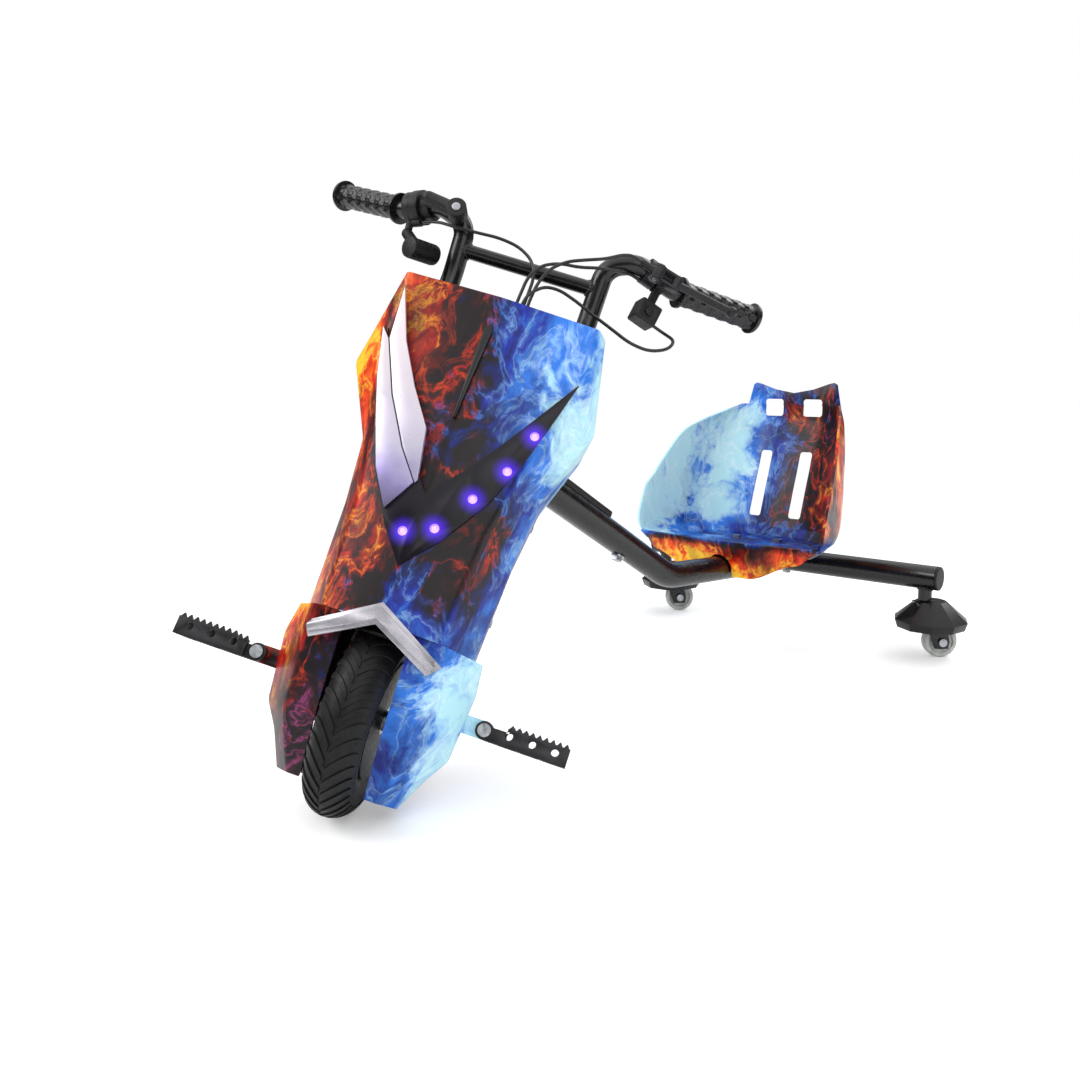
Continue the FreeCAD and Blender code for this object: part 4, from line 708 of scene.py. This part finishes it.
def make_tyre():
    """The front tyre: a carcass with rim beads, raised side rings and rows of slanted tread blocks."""
    radius, crown, rim = 102 * MM, 26 * MM, 54.1 * MM
    depth = sizes().tread_depth
    inner = crown - depth
    ring = radius - crown
    profile = []
    for i in range(25):
        angle = math.radians(-128 + 256 * i / 24)
        reach = inner
        if 84 < abs(math.degrees(angle)) < 92:
            reach += 0.8 * MM
        profile.append((reach * math.sin(angle), ring + reach * math.cos(angle)))
    edge = profile[-1]
    profile += [(edge[0] - 1 * MM, rim + 5.5 * MM), (18.4 * MM, rim + 5.5 * MM), (18.4 * MM, rim),
                (-18.4 * MM, rim), (-18.4 * MM, rim + 5.5 * MM), (1 * MM - edge[0], rim + 5.5 * MM)]
    carcass = outward(mesh_from(*lathe(profile, 144, True), "tyre"))
    rows = sizes().tread_rows
    bars = []
    for side in (-1, 1):
        verts, faces = tread_block(side, radius, crown, depth, rows)
        if side < 0:
            shift = Matrix.Rotation(math.pi / rows, 4, "X")
            verts = [shift @ Vector(v) for v in verts]
        bars.append(ring_of(outward(mesh_from(verts, faces)), rows, "tyre"))
    tyre = place_mesh(joined([carcass] + bars), FRONT, "tyre_with_tread", "front_wheel", 25)
    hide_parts("front_tyre")


def make_grips():
    """Both grips: a flanged sleeve with rings of soft ridges and a rounded end."""
    for side, name in ((1, "left"), (-1, "right")):
        start = FRONT @ (Vector((side * 157, -25, 528)) * MM)
        end = FRONT @ (Vector((side * 249, 25, 550)) * MM)
        out = (end - start).normalized()
        span = (end - start).length
        steps, rows = 72, 110
        begin, stop = 6 * MM, span + 4 * MM
        ridges = sizes().grip_ridges
        verts, faces = [], []
        for j in range(rows + 1):
            t = j / rows
            along = begin + (stop - begin) * t
            for i in range(steps):
                angle = 2 * math.pi * i / steps
                wave = math.sin(math.pi * ridges * t) * math.cos(6 * angle)
                radius = (13.2 + 1.1 * max(-0.6, min(0.6, 1.6 * wave))) * MM
                if t < 0.035:
                    radius = 17.3 * MM
                elif t < 0.06:
                    radius = 14.3 * MM
                if t > 0.94:
                    radius = (17.4 - 2.2 * ((t - 0.955) / 0.045) ** 2 * (t > 0.955)) * MM
                verts.append((along, radius * math.cos(angle), radius * math.sin(angle)))
        for j in range(rows):
            for i in range(steps):
                k = (i + 1) % steps
                faces.append((j * steps + i, j * steps + k, (j + 1) * steps + k, (j + 1) * steps + i))
        bore = 11.1 * MM
        first = len(verts)
        for i in range(steps):
            angle = 2 * math.pi * i / steps
            verts.append((begin, bore * math.cos(angle), bore * math.sin(angle)))
        for i in range(steps):
            k = (i + 1) % steps
            faces.append((i, k, first + k, first + i))
        faces.append(tuple(first + i for i in range(steps)))
        faces.append(tuple(rows * steps + i for i in range(steps)))
        turn = Vector((1, 0, 0)).rotation_difference(out).to_matrix().to_4x4()
        place = Matrix.Translation(start) @ turn
        grip = place_mesh(outward(mesh_from(verts, faces, "rubber")), place, "grip_rubber_" + name,
                          "front_assembly", 40)
        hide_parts("grip_" + name)


def weld(name, place, radius, host, body):
    """A ripple weld round a tube that meets a host tube. Local X leaves the host, whose line is local Y."""
    ball = bmesh.new()
    bmesh.ops.create_uvsphere(ball, u_segments=10, v_segments=6, radius=1.0)
    bead = bpy.data.meshes.new("draft")
    ball.to_mesh(bead)
    ball.free()
    ripples = max(8, round(sizes().weld_ripples * radius / 18))
    wide = 2 * math.pi * radius / ripples * 0.85
    bead.transform(Matrix.Translation((0, 0, radius * MM)) @ Matrix.Diagonal((2.3 * MM, wide * MM, 1.5 * MM, 1)))
    ring = ring_of(bead, ripples, "weld")
    for vertex in ring.vertices:
        reach = min(abs(vertex.co.z), host * MM * 0.999)
        vertex.co.x += math.sqrt((host * MM) ** 2 - reach ** 2)
    return place_mesh(ring, place, name, body, 60)


def axes_matrix(origin, away, along):
    """A frame whose X is away and whose Y is along, as nearly as they allow."""
    x = Vector(away).normalized()
    z = x.cross(Vector(along)).normalized()
    frame_here = Matrix((x, z.cross(x), z)).transposed().to_4x4()
    frame_here.translation = Vector(origin) * MM
    return frame_here


def make_welds():
    """Ripple welds where the frame's tubes meet in sight."""
    weld("weld_stem_left", REAR @ axes_matrix((234, 0, 122), (0, 0, -1), (1, 0, 0)), 10.2, 18, "rear_frame")
    weld("weld_stem_right", REAR @ axes_matrix((-234, 0, 122), (0, 0, -1), (1, 0, 0)), 10.2, 18, "rear_frame")
    weld("weld_tube_to_beam", REAR @ axes_matrix((0, 0, 122), (0, -1, 0.081), (1, 0, 0)), 18.2, 18, "rear_frame")
    for side, name in ((1, "left"), (-1, "right")):
        here = axes_matrix((side * 79.6, -32.6, 497), (-side, 0, 0), (0.02 * side, -0.316, 0.949))
        weld("weld_crossbar_" + name, FRONT @ here, 8.1, 11, "front_assembly")


def head_ends(node, direction):
    """The middle of each separate solid's far end along a direction."""
    work = bmesh.new()
    work.from_mesh(frame["nodes"][node].data)
    bmesh.ops.remove_doubles(work, verts=work.verts, dist=1e-5)
    left, ends = set(work.verts), []
    while left:
        group, edge = set(), [left.pop()]
        while edge:
            vert = edge.pop()
            group.add(vert)
            for link in vert.link_edges:
                other = link.other_vert(vert)
                if other in left:
                    left.discard(other)
                    edge.append(other)
        far = max(v.co.dot(direction) for v in group)
        rim = [v.co for v in group if v.co.dot(direction) > far - 1e-5]
        ends.append((sum((Vector(c) for c in rim), Vector()) / len(rim), direction))
    work.free()
    return ends


def socketed(node, key, spots, radius, depth):
    """Screws with a hexagon socket sunk in each head."""
    piece = softened(node, 0.5 * MM, key)
    holes = []
    for point, out in spots:
        verts, faces = [], [tuple(range(6)), tuple(range(11, 5, -1))]
        for reach in (-depth, 1.0):
            for i in range(6):
                angle = math.radians(60 * i)
                verts.append((reach * MM, radius * MM * math.cos(angle), radius * MM * math.sin(angle)))
        faces += [(i, i + 6, (i + 1) % 6 + 6, (i + 1) % 6) for i in range(6)]
        hole = outward(mesh_from(verts, faces))
        side = out.cross(Vector((0, 0, 1)))
        hole.transform(axes_matrix(Vector(point) / MM, out, side))
        holes.append(hole)
    piece.data = cut(piece.data, holes)


def make_screws():
    """Socket screws of the body covers."""
    across = FRONT.to_3x3() @ Vector((1, 0, 0))
    middle = FRONT.translation.dot(across)
    spots = [spot for spot in head_ends("cover_screws", across) if spot[0].dot(across) > middle]
    spots += [spot for spot in head_ends("cover_screws", -across) if spot[0].dot(across) < middle]
    socketed("cover_screws", "zinc", spots, 2.2, 1.4)


def make_caster_wheels():
    """Both caster wheels: a crowned polyurethane tyre on a dished core with a bearing at each side."""
    half = [(3.0, 25), (6.5, 24.6), (8.8, 23.4), (9.9, 21.4), (10, 18.5), (9.4, 17.6), (7.2, 16.8), (7.0, 10.5),
            (9.6, 9.4), (10, 8.6), (10, 6.2), (9.2, 5.9), (9.2, 3.7)]
    profile = [(x * MM, r * MM) for x, r in half] + [(-x * MM, r * MM) for x, r in reversed(half)]
    for side in ("left", "right"):
        spin = joints["caster_wheel_spin_" + side]
        place = axes_matrix(Vector(spin["pos_m"]) / MM, spin["axis"], (0, 0, 1))
        wheel = outward(mesh_from(*lathe(profile, 72, True), "caster"))
        bearings = []
        for way in (-1, 1):
            seat = [(way * 9.1, 8.4), (way * 9.8, 8.3), (way * 9.8, 7.4), (way * 9.4, 7.2), (way * 9.4, 5.6),
                    (way * 9.8, 5.4), (way * 9.8, 3.9), (way * 9.1, 3.8)]
            ring = [(x * MM, r * MM) for x, r in seat]
            bearings.append(outward(mesh_from(*lathe(ring, 48, True), "zinc")))
        piece = place_mesh(joined([wheel] + bearings), place, "caster_wheel_cast_" + side, "caster_wheel_" + side,
                           35)
        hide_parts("caster_wheel_" + side)


def make_roller_ribs():
    """Fine ribs along the roller of the thumb throttle, for grip."""
    near, far = Vector((-104, -32, 481)), Vector((-124, -60, 468))
    span = (far - near).length
    verts, faces = [], [(0, 1, 3, 2), (4, 6, 7, 5), (0, 2, 6, 4), (1, 5, 7, 3), (2, 3, 7, 6), (0, 4, 5, 1)]
    for reach in (2.0, span - 2.0):
        for up, half in ((10.6, 0.6), (11.5, 0.35)):
            verts += [(reach * MM, -half * MM, up * MM), (reach * MM, half * MM, up * MM)]
    ribs = ring_of(outward(mesh_from(verts, faces)), 28, "grain")
    place = FRONT @ axes_matrix(near, far - near, (0, 0, 1))
    place_mesh(ribs, place, "throttle_roller_ribs", "throttle_paddle", 30)


# Body covers: height, then middle, front edge, widest edge and rear edge as (across, ahead), in millimetres
COVER = [
    (80.0, [(0, 97), (58, 82), (88, 20), (80, -58)]),
    (190.0, [(0, 101), (64, 87), (93, 22), (84, -56)]),
    (258.0, [(0, 103), (76, 89), (99, 30), (92, -50)]),
    (328.0, [(0, 104), (100, 89), (130, 57), (117, -42)]),
    (424.0, [(0, 101), (103, 95), (110, 74), (102, -36)]),
]
SIDE = [
    (-74.0, [(33, 22), (45, 24), (63, 0), (58, -28), (44, -34)]),
    (-40.0, [(33, 42), (58, 41), (80, 0), (74, -42), (54, -50)]),
    (-17.0, [(33, 52), (64, 50), (95, 5), (88, -48), (60, -56)]),
    (50.0, [(33, 76), (66, 71), (101, 20), (93, -54), (60, -62)]),
    (79.8, [(33, 82), (66, 77), (97, 20), (90, -54), (60, -62)]),
]
# Middles of the lamps on the V panel as (across, up)
LAMPS = [(-7.4, 166), (19.6, 178), (43, 217), (64.7, 254), (78, 296)]
# Seat wall: height, then back middle, back edge, bend and wing tip as (across, along)
SEAT = [
    (178, [(0, -50), (60, -50), (122, -84), (148, -188)]),
    (198, [(0, -43), (60, -43), (127, -80), (155, -194)]),
    (246, [(0, -25), (60, -25), (124, -66), (155, -177)]),
    (268, [(0, -16), (60, -16), (120, -57), (150, -159)]),
    (300, [(0, -4), (60, -4), (115, -44), (143, -133)]),
    (336, [(0, 10), (60, 10), (106, -28), (131, -99)]),
    (355, [(0, 16), (60, 16), (97, -14), (112, -54)]),
    (376, [(0, 19), (60, 19), (76, 15), (86, 3)]),
]
SEAT_FLOOR = [(0, -56), (52, -56), (110, -88), (136, -180), (116, -195), (60, -200), (0, -201)]
SEAT_RIM = [(0, -46), (61, -46), (125, -81), (152, -188), (124, -203), (62, -208), (0, -209)]
HORNS = [(-82, 373), (-74, 408), (-69, 411), (-60, 409), (-34, 400), (0, 394), (34, 400), (60, 409), (69, 411),
         (74, 408), (82, 373)]
SEAT_THICK = 4 * MM
TUBE_UP = 138.7
TUBE_CLEARANCE = 21
SEAT_SLOTS = [(-51, -17, 356, 384), (17, 51, 356, 384), (-46, -24, 196, 300), (24, 46, 196, 300)]


def through(points, steps):
    """Points along a smooth line that passes through the given ones."""
    out = []
    last = len(points) - 1
    for i in range(last):
        a, b, c, d = (Vector(points[max(0, min(last, i + k))]) for k in (-1, 0, 1, 2))
        for k in range(steps):
            t = k / steps
            out.append(0.5 * (2 * b + (c - a) * t + (2 * a - 5 * b + 4 * c - d) * t ** 2
                              + (3 * b - a - 3 * c + d) * t ** 3))
    return out + [Vector(points[-1])]


def grid_faces(rows, wide, closed=False):
    spans = wide if closed else wide - 1
    return [(j * wide + i, j * wide + (i + 1) % wide, (j + 1) * wide + (i + 1) % wide, (j + 1) * wide + i)
            for j in range(rows - 1) for i in range(spans)]


def smoothstep(low, high, value):
    t = max(0.0, min(1.0, (value - low) / (high - low)))
    return t * t * (3 - 2 * t)


def cut(mesh, cutters, operation="DIFFERENCE"):
    """Cut shapes out of a mesh, or weld them to it."""
    for cutter in cutters:
        helper = stand("cutter", cutter)
        mesh = evaluated(mesh, [("BOOLEAN", {"object": helper, "operation": operation, "solver": "EXACT"})])
        bpy.data.objects.remove(helper)
    return mesh


def wall(thick):
    """A wall behind a surface."""
    return "SOLIDIFY", {"thickness": thick, "offset": -1.0, "use_even_offset": True}


def rounding(width, segments, angle):
    """Rounded edges where faces meet at more than an angle in degrees."""
    return "BEVEL", {"width": width, "segments": segments, "limit_method": "ANGLE",
                     "angle_limit": math.radians(angle), "use_clamp_overlap": True}


def walled(mesh, thick, rim=1.2 * MM):
    """Give a surface a wall behind it, with its rim rounded."""
    return evaluated(mesh, [wall(thick), rounding(rim, 2, 55)])


def seat_wall():
    """The back and both wings as one smooth surface through the CAD's levels."""
    rows = [through([(x, y, z) for x, y in [(-a, b) for a, b in reversed(half[1:])] + half], 8) for z, half in SEAT]
    columns = [through([row[i] for row in rows], 6) for i in range(len(rows[0]))]
    tall, wide = len(columns[0]), len(columns)
    verts = [columns[i][j] * MM for j in range(tall) for i in range(wide)]
    return walled(mesh_from(verts, grid_faces(tall, wide), "seat_film"), SEAT_THICK)


def seat_tub():
    """The shallow pan under the walls."""
    def ring(half, up, share=1.0):
        loop = half[1:-1] + [half[-1]] + [(-x, y) for x, y in reversed(half[1:-1])] + [half[0]]
        loop = through([loop[-1]] + loop + [loop[0]], 6)[6:-6 - 1]
        return [Vector((p[0] * share, -130 + (p[1] + 130) * share, up)) for p in loop]
    between = [((a[0] * 0.6 + b[0] * 0.4), (a[1] * 0.6 + b[1] * 0.4)) for a, b in zip(SEAT_FLOOR, SEAT_RIM)]
    rings = [ring(SEAT_RIM, 180), ring(between, 169.5), ring(SEAT_FLOOR, 165.2), ring(SEAT_FLOOR, 164, 0.93),
             ring(SEAT_FLOOR, 164, 0.6), ring(SEAT_FLOOR, 164, 0.25)]
    wide = len(rings[0])
    verts = [p * MM for row in rings for p in row]
    faces = grid_faces(len(rings), wide, True)
    faces.append(tuple((len(rings) - 1) * wide + i for i in range(wide)))
    mesh = mesh_from(verts, faces, "seat_film")
    if sum(f.normal.z * f.area for f in mesh.polygons) > 0:
        mesh.flip_normals()
    return walled(mesh, SEAT_THICK, 0.6 * MM)


def seat_apron():
    """The front lip: it hangs from the pan's edge, sweeps up to both wings and tucks under the rider's legs."""
    half = [p for p in SEAT_RIM if p[1] < -150]
    line = through([(-x, y) for x, y in half if x > 0] + list(reversed(half)), 10)
    verts, rows = [], 7
    for j in range(rows):
        t = j / (rows - 1)
        for x, y in line:
            low = 127.5 + 27 * smoothstep(46, 122, abs(x)) + 20 * smoothstep(118, 152, abs(x))
            verts.append(Vector((x, y + 5 * (1 - t) ** 2, low + (180.5 - low) * t)) * MM)
    mesh = walled(mesh_from(verts, grid_faces(rows, len(line)), "seat_film"), SEAT_THICK)
    # Clearance for the main tube, which passes under the pan
    far, near, wide = -260 * MM, -150 * MM, TUBE_CLEARANCE * MM
    tube = lathe([(far, 0.0), (far, wide), (near, wide), (near, 0.0)], 48)
    notch = outward(mesh_from([Vector((v[1], v[0], v[2] + TUBE_UP * MM)) for v in tube[0]], tube[1]))
    side = TUBE_CLEARANCE
    slot = block_mesh([(-side, 60), (side, 60), (side, TUBE_UP), (-side, TUBE_UP)], 260, 150)
    return cut(mesh, [notch, slot])


def rounded_outline(x0, x1, z0, z1, radius):
    points = []
    for cx, cz, start in ((x1 - radius, z1 - radius, 0), (x0 + radius, z1 - radius, 90),
                          (x0 + radius, z0 + radius, 180), (x1 - radius, z0 + radius, 270)):
        for k in range(7):
            angle = math.radians(start + 15 * k)
            points.append((cx + radius * math.cos(angle), cz + radius * math.sin(angle)))
    return points


def make_seat():
    """The bucket seat: smooth wings, pan, front lip and horns in one shell, with its four slots."""
    plate = block_mesh(HORNS, -17.5, -21.5)
    tip = Matrix.Translation((0, 19 * MM, 376 * MM))
    plate.transform(tip @ Matrix.Rotation(math.radians(-6), 4, "X") @ tip.inverted())
    plate.materials.append(finish("seat_film"))
    plate = evaluated(plate, [rounding(1.2 * MM, 2, 50)])
    mesh = cut(seat_wall(), [plate, seat_tub(), seat_apron()], "UNION")
    holes = [block_mesh(rounded_outline(*spot, 5), 120, -80) for spot in SEAT_SLOTS]
    mesh = cut(mesh, holes)
    mesh.materials.clear()
    mesh.materials.append(finish("seat_film"))
    seat = place_mesh(mesh, REAR, "seat_shell_moulded", "rear_frame", 35)
    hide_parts("seat_shell")


def sheet_grid(levels):
    """Quads between rows of points at several heights, in the front assembly's frame."""
    verts = [(x * MM, -y * MM, z * MM) for z, row in levels for x, y in row]
    return verts, grid_faces(len(levels), len(levels[0][1]))


def block_mesh(outline, near, far):
    """A prism of the front, from an outline of (across, up) between two distances ahead, in millimetres."""
    count = len(outline)
    verts = [(x * MM, -d * MM, z * MM) for d in (near, far) for x, z in outline]
    faces = [tuple(range(count)), tuple(range(2 * count - 1, count - 1, -1))]
    faces += [(i, i + count, (i + 1) % count + count, (i + 1) % count) for i in range(count)]
    return outward(mesh_from(verts, faces))


def shell(verts, faces, key, thick, edge, cutters=()):
    """A moulded shell: creases rounded, wall turned inwards, then openings cut."""
    mesh = mesh_from(verts, faces, key)
    return cut(evaluated(mesh, [rounding(edge, 4, 5), wall(thick)]), cutters)


def make_covers():
    """The printed covers: the tall front cover and both wheel side covers, with rounded creases."""
    levels = [(z, [(-x, y) for x, y in reversed(row[1:])] + row) for z, row in COVER]
    verts, faces = sheet_grid(levels)
    mesh = shell(verts, faces, "film", 3 * MM, sizes().cover_round)
    cover = place_mesh(mesh, FRONT, "front_cover_printed", "front_assembly", 35)
    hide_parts("front_cover")
    for side, name in ((1, "left"), (-1, "right")):
        rows = [(z, [(side * x, y) for x, y in row]) for z, row in SIDE]
        verts, faces = sheet_grid(rows)
        if side < 0:
            faces = [f[::-1] for f in faces]
        slot = [(side * 70, 9), (side * 130, 9), (side * 130, 35), (side * 70, 35)]
        mesh = shell(verts, faces, "film", 3 * MM, sizes().cover_round, [block_mesh(slot, -6, 12)])
        side_cover = place_mesh(mesh, FRONT, "wheel_cover_printed_" + name, "front_assembly", 35)
        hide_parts("wheel_side_cover_" + name)


def make_stage():
    """A plain pale floor, soft light and the camera where the photograph was taken."""
    scene = bpy.context.scene
    scene.view_settings.view_transform = "Standard"
    world = bpy.data.worlds.new("studio")
    scene.world = world
    world.use_nodes = True
    tree = world.node_tree
    tree.nodes.clear()
    # A wide soft box overhead: bright above, dim at eye level; the camera sees plain white
    rise = add(tree, "ShaderNodeSeparateXYZ", {"Vector": add(tree, "ShaderNodeTexCoord").outputs["Generated"]})
    sky = ramp(tree, rise.outputs["Z"], [(0.0, grey(0.3)), (0.12, grey(0.42)), (0.5, grey(1.0)), (0.9, grey(1.0))])
    room = ramp(tree, rise.outputs["Z"], [(0.0, grey(0.03)), (0.35, grey(0.08)), (0.62, grey(0.9)), (1.0, grey(1.0))])
    soft = add(tree, "ShaderNodeBackground", {"Color": sky, "Strength": 1.05})
    seen = add(tree, "ShaderNodeBackground", {"Color": room, "Strength": 1.4})
    white = add(tree, "ShaderNodeBackground", {"Color": (1, 1, 1, 1), "Strength": 1.0})
    path = add(tree, "ShaderNodeLightPath").outputs
    around = add(tree, "ShaderNodeMixShader", {0: path["Is Glossy Ray"], 1: soft.outputs[0], 2: seen.outputs[0]})
    both = add(tree, "ShaderNodeMixShader", {0: path["Is Camera Ray"], 1: around.outputs[0], 2: white.outputs[0]})
    add(tree, "ShaderNodeOutputWorld", {"Surface": both.outputs[0]})

    floor = bpy.data.meshes.new("floor")
    half = 9.0
    floor.from_pydata([(-half, -half, 0), (half, -half, 0), (half, half, 0), (-half, half, 0)], [], [(0, 1, 2, 3)])
    material, tree, shader = new_material("paper_sweep_white")
    point = object_point(tree)
    reach = add(tree, "ShaderNodeVectorMath", {0: point}, operation="LENGTH").outputs["Value"]
    # The paper curves up out of sight: beyond 1.1 m it is lit as the wall behind it is
    away = add(tree, "ShaderNodeMapRange", {"Value": reach, "From Min": 0.75, "From Max": 1.5},
               interpolation_type="SMOOTHSTEP").outputs["Result"]
    grain = ramp(tree, noise(tree, point, 0.5, 2), [(0.3, srgb("#f4f5f5")), (0.7, srgb("#fafafa"))])
    seen = add(tree, "ShaderNodeLightPath").outputs["Is Camera Ray"]
    fade = maths(tree, "MULTIPLY", seen, away)
    tree.links.new(mix(tree, fade, grain, (0, 0, 0, 1)), shader.inputs["Base Color"])
    shader.inputs["Roughness"].default_value = 0.9
    tree.links.new(maths(tree, "MULTIPLY_ADD", fade, -0.5, 0.5), shader.inputs["Specular IOR Level"])
    shader.inputs["Emission Color"].default_value = (1, 1, 1, 1)
    near = maths(tree, "MULTIPLY", seen, 0.24)
    tree.links.new(maths(tree, "ADD", near, maths(tree, "MULTIPLY", fade, 0.78)), shader.inputs["Emission Strength"])
    floor.materials.append(material)
    stand("floor", floor)

    centre = Vector((0, 0, 0.3))
    for name, spot, size, power in (("key", (-1.3, -2.4, 2.3), 1.8, 42.0), ("fill", (2.6, -1.4, 1.5), 2.4, 22.0),
                                    ("back", (0.4, 2.6, 2.2), 2.2, 26.0)):
        lamp = bpy.data.lights.new(name, "AREA")
        lamp.shape = "DISK"
        lamp.size = size
        lamp.energy = power
        holder = stand(name, lamp)
        holder.location = spot
        holder.rotation_euler = (centre - Vector(spot)).to_track_quat("-Z", "Y").to_euler()

    camera = bpy.data.cameras.new("camera")
    camera.sensor_width = 36.0
    camera.lens = 32.995
    camera.shift_x = -0.02189
    camera.shift_y = -0.04171
    eye = stand("camera", camera)
    right, up = Vector((0.766, 0.643, -0.004)), Vector((-0.078, 0.100, 0.992))
    ahead = up.cross(right).normalized()
    right = ahead.cross(up).normalized()
    up = right.cross(ahead).normalized()
    turn = Matrix((right, up, -ahead)).transposed().to_4x4()
    turn.translation = Vector((0.756809, -1.466639 + BEAM_Y, 0.435396)) + SHIFT
    eye.matrix_world = turn
    scene.camera = eye


def finish_frame():
    dress("paint", "main_tube", "head_tube", "rear_beam", "caster_stems", "seat_bracket", "fork", "handlebar_yoke",
          "handlebar")
    dress("zinc", "steerer_nut", "axle_nuts", "front_axle", "head_bearings", "hub_bearings", "frame_bolts",
          "peg_pins", "brake_pivot", "caster_axle_left", "caster_axle_right")
    for side in ("left", "right"):
        softened("caster_fork_" + side, 0.6 * MM, "paint")
        softened("caster_hood_" + side, 1.6 * MM, "gloss", 20, 3)
    softened("cable_strip", 1.0 * MM, "grain")
    softened("beam_end_caps", 1.2 * MM, "grain", 50)
    softened("peg_brackets", 1.0 * MM, "film")


def finish_controls():
    for node, width, key in (("foot_peg_left", 0.6, "casting"), ("foot_peg_right", 0.6, "casting"),
                             ("brake_perch", 0.6, "casting"), ("brake_lever", 0.7, "casting"),
                             ("throttle_housing", 0.8, "grain"), ("throttle_paddle", 0.8, "grain"),
                             ("mode_pod", 0.8, "grain"), ("switch_box", 1.0, "grain"), ("mode_button", 0.5, "silver"),
                             ("horn_button", 0.5, "grain")):
        softened(node, width * MM, key)
    dress("rubber", "cable_grommet")
    dress("sheath", "control_leads")


def finish_body():
    softened("v_panel", 1.0 * MM, "panel", 35)
    softened("front_fin", 0.8 * MM, "gloss", 35)
    softened("v_blades", 1.2 * MM, "blade", 35)
    softened("arch_trim", 1.7 * MM, "silver", 35, 1)
    softened("mudguard", 0.9 * MM, "gloss", 40)
    softened("top_cover", 1.0 * MM, "grain", 50)
    softened("rear_covers", 0.8 * MM, "grain", 50)
    dress("lamp", "led_lenses")
    dress("grain", "battery", "controller")
    dress("casting", "hub_shell", "hub_cover")
    dress("laminations", "motor_stator")


def operator(name, label, text, work):
    """An operator class that runs one making function."""
    def execute(self, context):
        work()
        return {"FINISHED"}
    return type("TRIKE_OT_" + name, (bpy.types.Operator,),
                {"bl_idname": "trike." + name, "bl_label": label, "__doc__": text, "execute": execute})


OPERATORS = [
    operator("stage", "Stage", "Set the floor, the light and the camera", make_stage),
    operator("frame", "Frame finish", "Paint and plate the frame and the casters", finish_frame),
    operator("controls", "Controls finish", "Finish the hand controls and the foot pegs", finish_controls),
    operator("body", "Body finish", "Finish the trim and what the body holds", finish_body),
    operator("covers", "Printed covers", "Make the printed covers with rounded creases", make_covers),
    operator("seat", "Seat", "Make the bucket seat", make_seat),
    operator("welds", "Welds", "Lay the ripple welds of the frame", make_welds),
    operator("screws", "Screws", "Make the socket screws of the covers", make_screws),
    operator("caster_wheels", "Caster wheels", "Make both caster wheels", make_caster_wheels),
    operator("roller", "Throttle roller", "Rib the roller of the thumb throttle", make_roller_ribs),
    operator("tyre", "Front tyre", "Make the front tyre with its tread", make_tyre),
    operator("grips", "Grips", "Make both rubber grips", make_grips),
]


class TRIKE_PT_parts(bpy.types.Panel):
    """Lists what can be made"""
    bl_idname = "TRIKE_PT_parts"
    bl_label = "Drift trike"
    bl_space_type = "VIEW_3D"
    bl_region_type = "UI"
    bl_category = "Trike"

    def draw(self, context):
        for made_by in OPERATORS:
            self.layout.operator(made_by.bl_idname)
        for settings in (context.scene.trike_sizes, context.scene.trike_colours):
            for key in settings.bl_rna.properties.keys():
                if key not in ("rna_type", "name"):
                    self.layout.prop(settings, key)


CLASSES = [TrikeColours, TrikeSizes] + OPERATORS + [TRIKE_PT_parts]


def register():
    for kind in CLASSES:
        bpy.utils.register_class(kind)
    bpy.types.Scene.trike_colours = bpy.props.PointerProperty(type=TrikeColours)
    bpy.types.Scene.trike_sizes = bpy.props.PointerProperty(type=TrikeSizes)


def unregister():
    del bpy.types.Scene.trike_sizes
    del bpy.types.Scene.trike_colours
    for kind in reversed(CLASSES):
        bpy.utils.unregister_class(kind)


def main():
    register()
    for made_by in OPERATORS:
        getattr(bpy.ops.trike, made_by.bl_idname.split(".")[1])()


if __name__ == "__main__":
    main()
